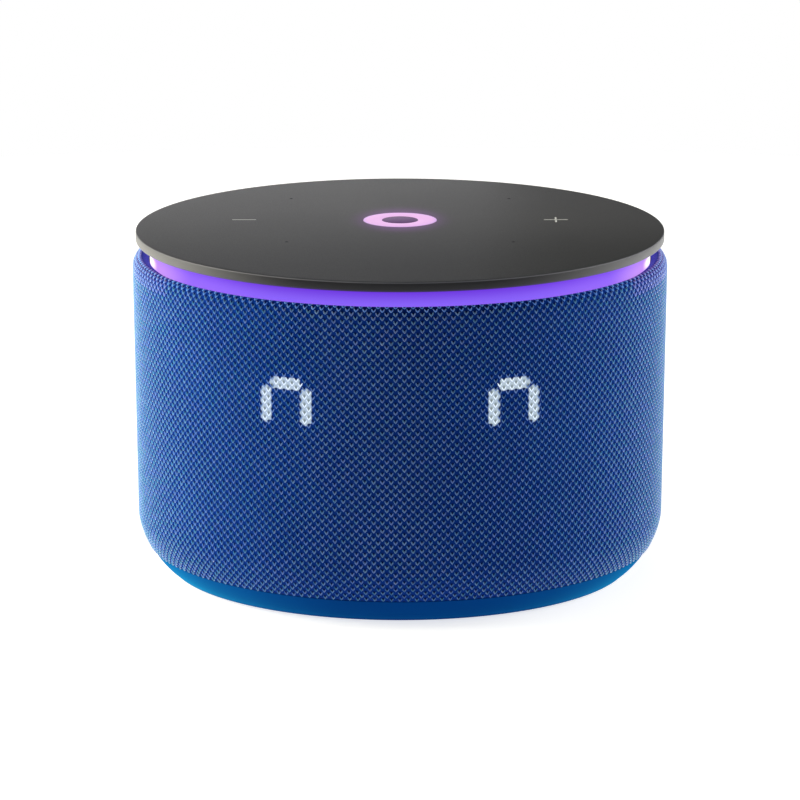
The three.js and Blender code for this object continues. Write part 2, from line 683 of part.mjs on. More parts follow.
/** Circle with two flats, shrunk by an inset. */
function boxOutline(inset) {
  const radius = BOX_RADIUS - inset;
  const flat = Math.acos((BOX_FLAT_X - inset) / radius);
  const outline = new THREE.Shape();
  outline.absarc(0, 0, radius, flat, Math.PI - flat, false);
  outline.absarc(0, 0, radius, Math.PI + flat, 2 * Math.PI - flat, false);
  return outline;
}

function makeEnclosure() {
  const rim = BOX_Z + BOX_HEIGHT;
  const floorTop = BOX_Z + LID_THICK;
  const radiatorHole = new THREE.CylinderGeometry(RADIATOR_HOLE, RADIATOR_HOLE, 140, DRIVER_SIDES)
    .rotateZ(Math.PI / 2)
    .translate(0, 0, RADIATOR_Z);
  const cup = cut(
    plate(boxOutline(0), BOX_Z, rim),
    plate(boxOutline(BOX_WALL), floorTop, rim + 1),
    post(WOOFER_HOLE, LID_THICK + 2, 0, 0, BOX_Z - 1, DRIVER_SIDES),
    radiatorHole,
  );
  add('speaker_enclosure', cup, BLACK_PLASTIC);

  const lidTop = rim + LID_GAP + LID_THICK;
  const lid = plate(boxOutline(0), rim + LID_GAP, lidTop);
  const standoffs = [-1, 1].flatMap((side) => [-1, 1].map((end) => (
    post(3, 0.6, side * (BOARD_WIDTH / 2 - 6), end * (BOARD_DEPTH / 2 - 6), lidTop - 0.1))));
  add('enclosure_lid', join(lid, ...standoffs), BLACK_PLASTIC);
  add('enclosure_gasket', cut(
    plate(boxOutline(FIT), rim + 0.1, rim + LID_GAP - 0.1),
    plate(boxOutline(BOX_WALL - FIT), rim, rim + LID_GAP),
  ), RUBBER);
}

function makeWoofer() {
  const face = BOX_Z - 0.1;
  const seat = face - 0.6;
  const windowZ = face + 6.1;
  const backZ = MAGNET_Z - 0.1;
  const shelfZ = backZ - 2.5;
  const basket = turned([
    [WOOFER_HOLE, face - 2], [WOOFER_RADIUS, face - 2], [WOOFER_RADIUS, face],
    [WOOFER_HOLE - 0.6, face], [WOOFER_HOLE - 1.6, windowZ],
    [MAGNET_RADIUS - 1, shelfZ], [MAGNET_RADIUS - 1, backZ],
    [COIL_RADIUS + 1.4, backZ], [COIL_RADIUS + 1.4, shelfZ],
    [MAGNET_RADIUS - 3.4, shelfZ], [WOOFER_HOLE - 3.8, windowZ],
    [WOOFER_HOLE - 2.8, seat], [WOOFER_HOLE, seat],
  ], DRIVER_SIDES);
  const windows = [0, 1, 2].map((i) => block(18, 80, 9, 0, 0, windowZ + 2).rotateZ(rad(i * 60)));
  add('woofer_basket', cut(basket, ...windows), STEEL);
  const magnetTop = MAGNET_Z + MAGNET_HEIGHT;
  add('woofer_magnet', washer(MAGNET_HOLE, MAGNET_RADIUS, MAGNET_Z, magnetTop, DRIVER_SIDES), FERRITE);
  const pole = COIL_RADIUS - 1;
  const poleZ = MAGNET_Z + 0.5;
  const yokeZ = magnetTop + 0.1;
  const yokeTop = yokeZ + 3.4;
  add('woofer_yoke', turned([
    [0, poleZ], [pole, poleZ], [pole, yokeZ], [MAGNET_RADIUS, yokeZ], [MAGNET_RADIUS, yokeTop],
    [0, yokeTop],
  ], DRIVER_SIDES), STEEL);
  const former = COIL_RADIUS + 0.6;
  const neckZ = 35.5;
  add('woofer_cone', turned([
    [COIL_RADIUS, neckZ], [COIL_RADIUS + 0.5, neckZ - 0.3], [CONE_RADIUS, seat + 0.1],
    [CONE_RADIUS, seat + 0.7], [former, neckZ + 0.9], [former, COIL_TOP_Z], [COIL_RADIUS, COIL_TOP_Z],
  ], DRIVER_SIDES), PAPER);
  add('dust_cap', turned([
    [0, 31.8], [5, 32.6], [9.6, 35], [9.6, 35.8], [5, 33.4], [0, 32.6],
  ], DRIVER_SIDES), PAPER);
  add('woofer_surround', turned([
    [CONE_RADIUS + FIT, 22.6], [29.8, 20.4], [33.4, 20.4], [34.8, 21.6],
    [34.8, 22.4], [33.1, 21.2], [30.2, 21.2], [CONE_RADIUS + FIT, 23.6],
  ], DRIVER_SIDES), RUBBER);
  add('woofer_spider', turned([
    [COIL_RADIUS + 0.9, 40.2], [14, 41], [17, 40], [21.6, 41.2],
    [21.6, 41.8], [17, 40.6], [14, 41.6], [COIL_RADIUS + 0.9, 40.8],
  ], DRIVER_SIDES), PAPER);
  add('sound_deflector', turned([
    [0, DEFLECTOR_Z], [DEFLECTOR_RADIUS, DEFLECTOR_Z], [DEFLECTOR_RADIUS, DEFLECTOR_Z + 1.4],
    [30, 9], [12, 14], [4, 16], [0, 16.4],
  ], DRIVER_SIDES), BLACK_PLASTIC);
}

/** Turned piece whose axis points outwards along X at a radiator, on side 1 or -1. */
function radiatorPiece(outline, side) {
  return turned(outline, DRIVER_SIDES).applyMatrix4(facing(90 * side, 0, RADIATOR_Z));
}

function makePassiveRadiators() {
  for (const [name, side] of [['left', -1], ['right', 1]]) {
    const face = BOX_FLAT_X + 0.1;
    add(`radiator_frame_${name}`, radiatorPiece([
      [RADIATOR_HOLE, face], [RADIATOR_FRAME_RADIUS, face],
      [RADIATOR_FRAME_RADIUS, face + 2], [RADIATOR_HOLE, face + 2],
    ], side), BLACK_PLASTIC);
    add(`radiator_surround_${name}`, radiatorPiece([
      [RADIATOR_RADIUS + FIT, face], [17.4, face + 1.6], [18.6, face + 2], [20.7, face],
      [20.7, face + 0.8], [18.8, face + 2.8], [17.2, face + 2.4], [RADIATOR_RADIUS + FIT, face + 0.8],
    ], side), RUBBER);
    add(`radiator_plate_${name}`, radiatorPiece([
      [0, face - 1], [RADIATOR_RADIUS - 0.6, face - 1], [RADIATOR_RADIUS, face - 0.4],
      [RADIATOR_RADIUS, face + 1.4], [RADIATOR_RADIUS - 0.6, face + 2], [0, face + 2],
    ], side), ALUMINIUM);
  }
}

function makeTweeters() {
  const base = BOX_RADIUS + 1.5;
  const flange = base + 8;
  for (const [name, side] of [['left', -1], ['right', 1]]) {
    const body = turned([
      [0, base], [TWEETER_BACK_RADIUS, base],
      [TWEETER_BACK_RADIUS, flange], [TWEETER_RADIUS, flange],
      [TWEETER_RADIUS, flange + 2], [TWEETER_DOME_RADIUS, flange + 2],
      [4.4, flange + 4], [0, flange + 4.8],
    ], 2 * SMALL_SIDES);
    body.applyMatrix4(facing(TWEETER_ANGLE * side, 0, DISPLAY_Z));
    add(`tweeter_${name}`, body, BLACK_PLASTIC);
  }
}

// ---------------------------------------------------------------- electronics

function makeElectronics() {
  const top = BOARD_Z + BOARD_THICK;
  add('main_board', join(
    plate(roundedRect(BOARD_WIDTH, BOARD_DEPTH, 4), BOARD_Z, top, 2),
    block(14, 14, 1.2, -6, 4, top - 0.1),
    block(12, 8, 1.0, 12, 4, top - 0.1),
    block(10, 10, 2.4, 30, -18, top - 0.1),
    block(8, 12, 1.6, -32, 14, top - 0.1),
    block(18, 4, 1.6, 0, -27, top - 0.1),
  ), BOARD);

  const sinkFoot = top + 1.3;
  const fins = [-2, -1, 0, 1, 2].map((i) => (
    block(1.6, SINK_DEPTH, 7, i * FIN_PITCH, 4, sinkFoot + 1.9)));
  add('heat_sink', join(block(SINK_WIDTH, SINK_DEPTH, 2, 0, 4, sinkFoot), ...fins), ALUMINIUM);

  add('display_cable', strip(14, [
    [-32.5, 85.6], [-50, 87.2], [-66, 86.0], [-71.2, 76.0], [-71.2, 70.0],
  ]), FLAT_CABLE);
  add('touch_cable', strip(16, [
    [-24.5, 86.2], [-20, 90], [-24, 95], [-20, TOUCH_BOARD_Z - 0.4],
  ]), FLAT_CABLE);
  add('port_cable', strip(10, [
    [33, 85.6], [58, 85.6], [62.3, 80], [62.3, 44],
  ]), FLAT_CABLE);
  add('antenna', block(0.8, 30, 5, 45, 0, BOARD_Z), BOARD);
}

/** Flat cable across X that follows a path of [y, z] points. */
function strip(width, path) {
  const near = path.map(([y, z]) => new THREE.Vector2(y, z));
  const far = offsetPath(near, CABLE_THICK).reverse();
  return plate(new THREE.Shape([...near, ...far]), -width / 2, width / 2)
    .applyMatrix4(new THREE.Matrix4().makeBasis(
      new THREE.Vector3(0, 1, 0), new THREE.Vector3(0, 0, 1), new THREE.Vector3(1, 0, 0)));
}

/** Path moved sideways by a distance, mitred at its corners. */
function offsetPath(points, distance) {
  return points.map((p, i) => {
    const before = points[Math.max(0, i - 1)];
    const after = points[Math.min(points.length - 1, i + 1)];
    const inward = new THREE.Vector2().subVectors(p, before).normalize();
    const outward = new THREE.Vector2().subVectors(after, p).normalize();
    const along = inward.clone().add(outward).normalize();
    const widen = i === 0 || i === points.length - 1 ? 1 : Math.max(0.5, along.dot(outward));
    return new THREE.Vector2(p.x - along.y * distance / widen, p.y + along.x * distance / widen);
  });
}

// ---------------------------------------------------------------- assembly

makeTopPlate();
makeIcon();
makeMarks();
makeTouchBoard();
makeLightRing();
makeUpperFrame();
makeFabric();
makeGrille();
makeBase();
makeRearPorts();
makeDisplay();
makeEnclosure();
makeWoofer();
makePassiveRadiators();
makeTweeters();
makeElectronics();

export default object;
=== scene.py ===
import json
import math

import bmesh
import bpy
import numpy as np
from mathutils import Matrix, Vector


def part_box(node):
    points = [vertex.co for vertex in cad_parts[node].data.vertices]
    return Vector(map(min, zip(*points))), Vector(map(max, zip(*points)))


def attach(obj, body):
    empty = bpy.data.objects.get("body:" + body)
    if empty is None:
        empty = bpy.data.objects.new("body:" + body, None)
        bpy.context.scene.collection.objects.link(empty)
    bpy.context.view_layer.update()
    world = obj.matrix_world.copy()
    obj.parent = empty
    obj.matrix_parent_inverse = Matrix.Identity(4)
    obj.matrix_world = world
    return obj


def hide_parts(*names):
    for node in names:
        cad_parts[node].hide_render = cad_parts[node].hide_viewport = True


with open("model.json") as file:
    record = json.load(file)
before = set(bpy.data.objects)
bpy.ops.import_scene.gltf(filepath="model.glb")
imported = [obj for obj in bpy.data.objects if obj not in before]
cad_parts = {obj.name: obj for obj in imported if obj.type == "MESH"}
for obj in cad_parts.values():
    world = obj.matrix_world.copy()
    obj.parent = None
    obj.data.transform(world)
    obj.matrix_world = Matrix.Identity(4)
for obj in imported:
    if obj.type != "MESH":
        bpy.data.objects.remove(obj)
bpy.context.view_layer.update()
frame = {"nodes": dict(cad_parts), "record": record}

MM = 0.001

# ---------------------------------------------------------------- places, from the frame

FABRIC_LOW, FABRIC_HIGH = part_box("fabric_sleeve")
PLATE_LOW, PLATE_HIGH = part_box("top_plate")
RING_LOW, RING_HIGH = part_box("light_ring_diffuser")
BASE_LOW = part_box("base_ring")[0]
LENS_LOW, LENS_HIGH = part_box("icon_ring_lens")
CAP_LOW, CAP_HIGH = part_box("icon_centre_cap")
PANEL_LOW, PANEL_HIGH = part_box("port_panel")
BUTTON_LOW, BUTTON_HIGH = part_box("mute_button")
SOCKET_LOW, SOCKET_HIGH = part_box("power_socket")
MASK_LOW, MASK_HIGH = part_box("segment_mask")

BODY_RADIUS = FABRIC_HIGH.x
PLATE_RADIUS = PLATE_HIGH.x
LIGHT_RADIUS = RING_HIGH.x
LAYOUT_Y = (LENS_LOW.y + LENS_HIGH.y) / 2
ICON_RADIUS = LENS_HIGH.x
ICON_INNER_RADIUS = CAP_HIGH.x + 0.3 * MM
DISPLAY_Z = (MASK_LOW.z + MASK_HIGH.z) / 2
PORT_Z = (PANEL_LOW.z + PANEL_HIGH.z) / 2
PANEL_CORNER = 6 * MM
BEZEL = 1.4                        # mm the panel's rim reaches over the cloth

# outline of the body, as the solids have it
SHOULDER_Z = 94.0 * MM
SHOULDER_DROP = 2.5 * MM
CORNER_TOP_Z = 17.8 * MM
CORNER_RADIAL = 12.3 * MM
CORNER_POWER = 1.586
WALL_TAPER = 1.0 * MM
LIP = 1.2 * MM

# knit
STITCHES_AROUND = 196
ROW_PITCH = 1.225 * MM
STITCH_HALF_WIDTH = 0.60 * MM
STITCH_HEIGHT = 1.05 * MM
YARN_WIDTH = 0.42 * MM
YARN_RISE = 0.28 * MM
YARN_SINK = 0.12 * MM              # the yarn's two edges lie this deep in the cloth
HOLE_NARROW = 1.3
HOLE_ROW = 0.43
YARN_BLUE = np.array((0.106, 0.258, 0.545))
YARN_TINTS = ((1.0, 1.0, 1.0), (0.82, 0.90, 0.96), (1.15, 1.12, 1.06), (0.80, 1.05, 0.95),
              (1.15, 0.95, 1.12))
CLOTH_SINK = 0.06 * MM
SPILL_LOW = 92.5 * MM              # stitches above this, at the two sides, carry painted violet light from the ring
SPILL_SIDE = 0.86
LIP_LOW = 96.3 * MM                # stitches above this, all round, carry painted light from the ring

# display
LIT_DIGITS = (-24.5, 24.5)
DIGIT_HALF_HEIGHT = 14.2 * MM
SEGMENT_V_OFFSET = 6.45 * MM
SEGMENT_V_LENGTH = 11.2 * MM
SEGMENT_H_LENGTH = 10.4 * MM
SEGMENT_WIDTH = 3.3 * MM
SEGMENT_GAP = 0.4 * MM
SEGMENT_POINT = 0.6
# reach of the painted glow round the lit digits
HALO = 1.1 * MM

SEED = 7


# ---------------------------------------------------------------- mesh helpers

def new_object(name, mesh, materials=()):
    piece = bpy.data.objects.new(name, mesh)
    bpy.context.scene.collection.objects.link(piece)
    for m in materials:
        mesh.materials.append(m)
    return piece


def smooth(mesh, degrees=35):
    mesh.polygons.foreach_set("use_smooth", [True] * len(mesh.polygons))
    mesh.set_sharp_from_angle(angle=math.radians(degrees))
    mesh.update()


def lathe(name, profile, sides, materials=(), closed=False):
    """Turns a profile of (radius, z) points about Z. Points on the axis become one vertex."""
    verts, rings, faces = [], [], []
    for radius, z in profile:
        if radius < 1e-7:
            rings.append([len(verts)] * sides)
            verts.append((0.0, 0.0, z))
            continue
        rings.append(list(range(len(verts), len(verts) + sides)))
        for i in range(sides):
            angle = 2 * math.pi * i / sides
            verts.append((radius * math.sin(angle), -radius * math.cos(angle), z))
    pairs = list(zip(rings, rings[1:]))
    if closed:
        pairs.append((rings[-1], rings[0]))
    for low, high in pairs:
        for i in range(sides):
            j = (i + 1) % sides
            corner = [low[i], low[j], high[j], high[i]]
            face = list(dict.fromkeys(corner))
            if len(face) > 2:
                faces.append(face)
    mesh = bpy.data.meshes.new(name)
    mesh.from_pydata(verts, [], faces)
    mesh.validate()
    make_outward(mesh)
    smooth(mesh)
    return new_object(name, mesh, materials)


def make_outward(mesh):
    bm = bmesh.new()
    bm.from_mesh(mesh)
    bmesh.ops.recalc_face_normals(bm, faces=bm.faces)
    bm.to_mesh(mesh)
    bm.free()


def settle(piece):
    """Applies the piece's modifiers."""
    depsgraph = bpy.context.evaluated_depsgraph_get()
    mesh = bpy.data.meshes.new_from_object(piece.evaluated_get(depsgraph))
    piece.modifiers.clear()
    piece.data = mesh


def boolean(piece, cutter, operation="DIFFERENCE"):
    mod = piece.modifiers.new("cut", "BOOLEAN")
    mod.operation = operation
    mod.solver = "EXACT"
    mod.object = cutter
    settle(piece)
    bpy.data.objects.remove(cutter)


def cylinder(radius, low, high, x=0.0, y=0.0, sides=32):
    rod = lathe("cutter", [(0, low), (radius, low), (radius, high), (0, high)], sides)
    rod.data.transform(Matrix.Translation((x, y, 0)))
    return rod


def arc(centre, radius, start, end, steps):
    """Points of an arc in the (radius, z) plane; angles in degrees, 0 outwards and 90 up."""
    points = []
    for i in range(steps + 1):
        angle = math.radians(start + (end - start) * i / steps)
        points.append((centre[0] + radius * math.cos(angle), centre[1] + radius * math.sin(angle)))
    return points


# ---------------------------------------------------------------- node helpers

MOULD_MOTTLE = 0.12
MOULD_SPREAD = 0.06
MOULD_DEPTH = 0.02 * MM


class Graph:
    """Short way to write a node tree."""

    def __init__(self, name):
        self.material = bpy.data.materials.new(name)
        self.material.use_nodes = True
        self.tree = self.material.node_tree
        self.shader = self.tree.nodes["Principled BSDF"]

    def node(self, kind, **settings):
        node = self.tree.nodes.new("ShaderNode" + kind)
        for key, value in settings.items():
            setattr(node, key, value)
        return node

    def link(self, value, socket):
        if isinstance(value, bpy.types.NodeSocket):
            self.tree.links.new(value, socket)
        else:
            socket.default_value = value

    def math(self, operation, *values):
        node = self.node("Math", operation=operation)
        for value, socket in zip(values, node.inputs):
            self.link(value, socket)
        return node.outputs[0]

    def ramp(self, value, low, high, to_low=0.0, to_high=1.0):
        node = self.node("MapRange", interpolation_type="SMOOTHSTEP")
        for item, socket in zip((value, low, high, to_low, to_high), node.inputs):
            self.link(item, socket)
        return node.outputs[0]

    def mix(self, factor, a, b):
        node = self.node("Mix", data_type="RGBA")
        self.link(factor, node.inputs[0])
        self.link(a if isinstance(a, bpy.types.NodeSocket) else (*a, 1), node.inputs[6])
        self.link(b if isinstance(b, bpy.types.NodeSocket) else (*b, 1), node.inputs[7])
        return node.outputs[2]

    def noise(self, scale, detail=3.0):
        node = self.node("TexNoise")
        node.inputs["Scale"].default_value = scale
        node.inputs["Detail"].default_value = detail
        self.link(self.place(), node.inputs["Vector"])
        return node.outputs["Fac"]

    def place(self):
        return self.node("TexCoord").outputs["Object"]

    def split(self, vector):
        node = self.node("SeparateXYZ")
        self.link(vector, node.inputs[0])
        return node.outputs

    def bump(self, height, strength, distance):
        node = self.node("Bump")
        node.inputs["Strength"].default_value = strength
        node.inputs["Distance"].default_value = distance
        self.link(height, node.inputs["Height"])
        self.link(node.outputs[0], self.shader.inputs["Normal"])

    def set(self, **sockets):
        for key, value in sockets.items():
            self.link(value, self.shader.inputs[key.replace("_", " ")])

    def length(self, a, b):
        """Length of the vector (a, b)."""
        return self.math("SQRT", self.math("ADD", self.math("MULTIPLY", a, a), self.math("MULTIPLY", b, b)))


def moulded(name, colour, roughness, grain=0.25 * MM):
    """Plastic or rubber with a fine grain and a slight mottle in its colour."""
    g = Graph(name)
    fine = g.noise(1 / grain, 2.0)
    broad = g.noise(60.0)
    darker = tuple(c * (1 - MOULD_MOTTLE) for c in colour)
    lighter = tuple(c * (1 + MOULD_MOTTLE) for c in colour)
    smoothest, roughest = roughness - MOULD_SPREAD, roughness + MOULD_SPREAD
    g.set(Base_Color=g.mix(g.ramp(broad, 0.3, 0.7), darker, lighter))
    g.set(Roughness=g.ramp(fine, 0.2, 0.8, smoothest, roughest))
    g.bump(fine, 0.5, MOULD_DEPTH)
    return g.material


def mottled(name, colour, roughness, metal=0.0, scale=90.0, mottle=0.2):
    """Material with a mottled colour and no grain."""
    g = Graph(name)
    darker = tuple(c * (1 - mottle) for c in colour)
    g.set(Base_Color=g.mix(g.ramp(g.noise(scale), 0.35, 0.65), darker, colour))
    g.set(Roughness=roughness, Metallic=metal)
    return g.material


# ---------------------------------------------------------------- body outline

def body_radius(z):
    """Outer radius of the body at a height."""
    foot = BODY_RADIUS - WALL_TAPER
    if z >= SHOULDER_Z:
        t = min(1.0, (z - SHOULDER_Z) / (FABRIC_HIGH.z - SHOULDER_Z))
        return BODY_RADIUS - SHOULDER_DROP * (1 - math.sqrt(1 - t * t))
    if z >= CORNER_TOP_Z:
        return foot + WALL_TAPER * (z - CORNER_TOP_Z) / (SHOULDER_Z - CORNER_TOP_Z)
    s = ((CORNER_TOP_Z - z) / CORNER_TOP_Z) ** (CORNER_POWER / 2)
    c = math.sqrt(max(0.0, 1 - s * s))
    return foot - CORNER_RADIAL * (1 - c ** (2 / CORNER_POWER))


def fine_outline():
    """Dense points of the fabric's outline: corner, wall, shoulder and the lip turned in."""
    low, high = FABRIC_LOW.z, FABRIC_HIGH.z
    points = []
    for i in range(600):
        z = low + (SHOULDER_Z - low) * i / 600
        points.append((body_radius(z), z))
    for i in range(121):
        t = math.pi / 2 * i / 120
        radius = BODY_RADIUS - SHOULDER_DROP * (1 - math.cos(t))
        points.append((radius, SHOULDER_Z + (high - SHOULDER_Z) * math.sin(t)))
    edge = BODY_RADIUS - SHOULDER_DROP
    points += arc((edge, high - LIP), LIP, 92, 170, 40)
    return np.array(points)


OUTLINE = fine_outline()
OUTLINE_LENGTH = np.concatenate(
    [[0], np.cumsum(np.linalg.norm(np.diff(OUTLINE, axis=0), axis=1))])
ROWS = int(OUTLINE_LENGTH[-1] / ROW_PITCH)


def along_outline(s):
    """(radius, z, outward normal in r, outward normal in z) at lengths s along the outline."""
    r = np.interp(s, OUTLINE_LENGTH, OUTLINE[:, 0])
    z = np.interp(s, OUTLINE_LENGTH, OUTLINE[:, 1])
    step = 0.3 * MM
    dr = np.interp(s + step, OUTLINE_LENGTH, OUTLINE[:, 0]) - np.interp(
        s - step, OUTLINE_LENGTH, OUTLINE[:, 0])
    dz = np.interp(s + step, OUTLINE_LENGTH, OUTLINE[:, 1]) - np.interp(
        s - step, OUTLINE_LENGTH, OUTLINE[:, 1])
    size = np.hypot(dr, dz)
    return r, z, dz / size, -dr / size


# ---------------------------------------------------------------- camera, light and stage

CAMERA_LENS = 235.9
CAMERA_SENSOR = 36
CAMERA_ELEVATION = math.radians(13.23)
CAMERA_DISTANCE = 1605 * MM
CAMERA_AIM = Vector((0, 0, 51.2 * MM))

BOX_SIDE = (0.6, 0.6)
BOX_PLACE = (0.9, 0.0, 0.25)       # the right box; the left one stands opposite
REAR_BOX_PLACE = (0.78, 0.45, 0.25)
WORLD_LIGHT = 0.05
FLOOR_RADIUS = 0.7
FLOOR_LIGHT = 0.72


def make_camera():
    data = bpy.data.cameras.new("camera")
    data.lens = CAMERA_LENS
    data.sensor_width = CAMERA_SENSOR
    data.clip_end = 20
    camera = bpy.data.objects.new("camera", data)
    bpy.context.scene.collection.objects.link(camera)
    towards = Vector((0, -math.cos(CAMERA_ELEVATION), math.sin(CAMERA_ELEVATION)))
    camera.location = CAMERA_AIM + CAMERA_DISTANCE * towards
    camera.rotation_euler = (CAMERA_AIM - camera.location).to_track_quat("-Z", "Y").to_euler()
    bpy.context.scene.camera = camera


def softbox(name, place, size, power, aim=(0, 0, 0.05), colour=(1, 1, 1), mirrored=True):
    data = bpy.data.lights.new(name, "AREA")
    data.shape = "RECTANGLE"
    data.size, data.size_y = size
    data.energy = power
    data.color = colour
    light = bpy.data.objects.new(name, data)
    bpy.context.scene.collection.objects.link(light)
    light.location = place
    light.rotation_euler = (Vector(aim) - light.location).to_track_quat("-Z", "Y").to_euler()
    light.visible_camera = False
    light.visible_glossy = mirrored


def make_studio():
    bpy.context.scene.view_settings.view_transform = "Standard"
    world = bpy.data.worlds.new("studio")
    bpy.context.scene.world = world
    world.use_nodes = True
    nodes, links = world.node_tree.nodes, world.node_tree.links
    seen = nodes["Background"]
    seen.inputs["Color"].default_value = (1, 1, 1, 1)
    seen.inputs["Strength"].default_value = 1.0
    lighting = nodes.new("ShaderNodeBackground")
    lighting.inputs["Color"].default_value = (0.85, 0.9, 1, 1)
    lighting.inputs["Strength"].default_value = WORLD_LIGHT
    rays = nodes.new("ShaderNodeLightPath")
    choose = nodes.new("ShaderNodeMixShader")
    links.new(rays.outputs["Is Camera Ray"], choose.inputs[0])
    links.new(lighting.outputs[0], choose.inputs[1])
    links.new(seen.outputs[0], choose.inputs[2])
    links.new(choose.outputs[0], nodes["World Output"].inputs["Surface"])

    # the side boxes light the cloth and the rim, and would be glare in the plate if it mirrored them
    right = BOX_PLACE
    left = (-right[0], *right[1:])
    right_rear = REAR_BOX_PLACE
    left_rear = (-right_rear[0], *right_rear[1:])
    softbox("left_box", left, BOX_SIDE, 18.8, colour=(1, 0.96, 0.75), mirrored=False)
    softbox("left_rear_box", left_rear, BOX_SIDE, 7.2, colour=(1, 0.95, 0.75), mirrored=False)
    softbox("right_box", right, BOX_SIDE, 8, colour=(1, 0.98, 0.80), mirrored=False)
    softbox("right_rear_box", right_rear, BOX_SIDE, 6, mirrored=False)
    softbox("top_box", (0, 0.1, 1.4), (1.4, 1.4), 3.1, colour=(0.78, 0.90, 1))
    softbox("back_box", (-0.12, 0.32, 0.16), (0.35, 0.06), 0.12, aim=(0, 0.05, 0.105))

    g = Graph("floor")
    grain = g.noise(4.0)
    g.set(Base_Color=g.mix(grain, (0.52, 0.52, 0.52), (0.56, 0.56, 0.56)), Roughness=0.9)
    g.set(Emission_Color=(1, 1, 1, 1), Emission_Strength=FLOOR_LIGHT)
    bm = bmesh.new()
    bmesh.ops.create_circle(bm, cap_ends=True, segments=96, radius=FLOOR_RADIUS)
    mesh = bpy.data.meshes.new("floor")
    bm.to_mesh(mesh)
    bm.free()
    new_object("floor", mesh, [g.material])


# ---------------------------------------------------------------- top plate

PLATE_EDGE = 0.35 * MM
PLATE_LOWER_EDGE = 0.5 * MM
POCKET_RADIUS = 74 * MM
POCKET_DEPTH = 1.1 * MM
MICROPHONE_HOLE = 0.55 * MM
MICROPHONES = (1, 2, 3, 4)
LENS_GAP = 0.12 * MM
DRILL_LOW = 90 * MM                # cutters through the plate run between these heights
DRILL_HIGH = 120 * MM
# painted highlight: the light grey of the plate's rounded top edge
CHAMFER_HIGHLIGHT_TONE = (0.115, 0.115, 0.135)
HALO_SIDE = 7 * MM                 # how far the mark's painted violet glow reaches, sideways and front to back
HALO_DEPTH = 14 * MM
LENS_EDGE = 0.1 * MM
CAP_EDGE = 0.12 * MM
CAP_GAP = 0.05 * MM
MARK_WIDTH = 0.55 * MM
PRINT_RISE = 0.045 * MM


def plate_material():
    g = Graph("touch_plate")
    x, y, z = g.split(g.place())
    dy = g.math("SUBTRACT", y, LAYOUT_Y)
    broad = g.noise(25.0)
    fine = g.noise(6000.0, 1.0)
    on_top = g.ramp(z, PLATE_HIGH.z - 0.3 * MM, PLATE_HIGH.z - 0.1 * MM)
    skin = g.mix(g.ramp(broad, 0.3, 0.7), (0.050, 0.049, 0.056), (0.058, 0.057, 0.064))
    # painted shade: the top's colour is darker towards the front edge
    painted_front_shade = g.ramp(y, -0.8 * PLATE_RADIUS, 0.7 * PLATE_RADIUS)
    skin = g.mix(painted_front_shade, g.mix(0.72, skin, (0.0, 0.0, 0.0)), skin)
    # painted light: the top is paler towards the right side
    painted_right_light = g.ramp(x, 0.0, 0.75 * PLATE_RADIUS, 0.0, 0.028)
    skin = g.mix(painted_right_light, skin, (1.0, 1.0, 1.0))
    # painted highlight: a light grey band along the rounded top edge, on the rim and on the top
    chamfer_highlight = g.math("MULTIPLY", g.ramp(z, PLATE_HIGH.z - 0.45 * MM, PLATE_HIGH.z - 0.3 * MM),
                     g.ramp(z, PLATE_HIGH.z - 0.02 * MM, PLATE_HIGH.z - 0.1 * MM))
    # painted reflection: the rim's colour is dark at the front and lighter towards the two sides
    flank = g.ramp(g.math("ABSOLUTE", x), 0.3 * PLATE_RADIUS, 0.97 * PLATE_RADIUS)
    rim = g.mix(flank, (0.010, 0.009, 0.011), (0.088, 0.088, 0.098))
    rim = g.mix(chamfer_highlight, rim, CHAMFER_HIGHLIGHT_TONE)
    skin = g.mix(chamfer_highlight, skin, CHAMFER_HIGHLIGHT_TONE)
    satin = g.ramp(fine, 0.25, 0.75, 0.40, 0.52)
    roughness = g.math("MULTIPLY", satin, g.ramp(on_top, 0, 1, 0.8, 1.0))
    g.set(Base_Color=g.mix(on_top, rim, skin), Roughness=roughness)
    # painted glow: the top glows violet round the mark, and the underside glows violet over the light ring
    across = g.math("DIVIDE", x, ICON_RADIUS + HALO_SIDE)
    deep = g.math("DIVIDE", dy, ICON_RADIUS + HALO_DEPTH)
    halo = g.math("POWER", g.ramp(g.length(across, deep), 1.0, 0.4), 1.5)
    under = g.ramp(z, PLATE_LOW.z + 0.8 * MM, PLATE_LOW.z + 0.1 * MM)
    glow = g.math("MULTIPLY", g.math("MULTIPLY", halo, on_top), 0.17)
    g.set(Emission_Color=g.mix(on_top, (0.12, 0.02, 0.40), (0.50, 0.12, 0.70)))
    g.set(Emission_Strength=g.math("ADD", glow, g.math("MULTIPLY", under, 0.13)))
    g.set(Specular_IOR_Level=0.36, Specular_Tint=(0.88, 0.92, 1, 1))
    g.bump(fine, 0.35, 0.012 * MM)
    return g.material


def make_plate():
    top, low = PLATE_HIGH.z, PLATE_LOW.z
    pocket = low + POCKET_DEPTH
    profile = [(0, top), (20 * MM, top), (50 * MM, top), (PLATE_RADIUS - 1.6 * MM, top)]
    profile += arc((PLATE_RADIUS - PLATE_EDGE, top - PLATE_EDGE), PLATE_EDGE, 90, 0, 6)
    under = (PLATE_RADIUS - PLATE_LOWER_EDGE, low + PLATE_LOWER_EDGE)
    profile += arc(under, PLATE_LOWER_EDGE, 0, -90, 6)
    profile += [(POCKET_RADIUS, low), (POCKET_RADIUS, pocket), (0, pocket)]
    plate = lathe("touch_plate", profile, 256, [plate_material()])
    boolean(plate, cylinder(ICON_RADIUS + LENS_GAP, DRILL_LOW, DRILL_HIGH, 0, LAYOUT_Y, 128))
    for i in MICROPHONES:
        gasket_low, gasket_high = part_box(f"microphone_gasket_{i}")
        centre = (gasket_low + gasket_high) / 2
        boolean(plate, cylinder(MICROPHONE_HOLE, DRILL_LOW, DRILL_HIGH, centre.x, centre.y, 24))
    smooth(plate.data, 30)
    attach(plate, "root")
    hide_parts("top_plate")


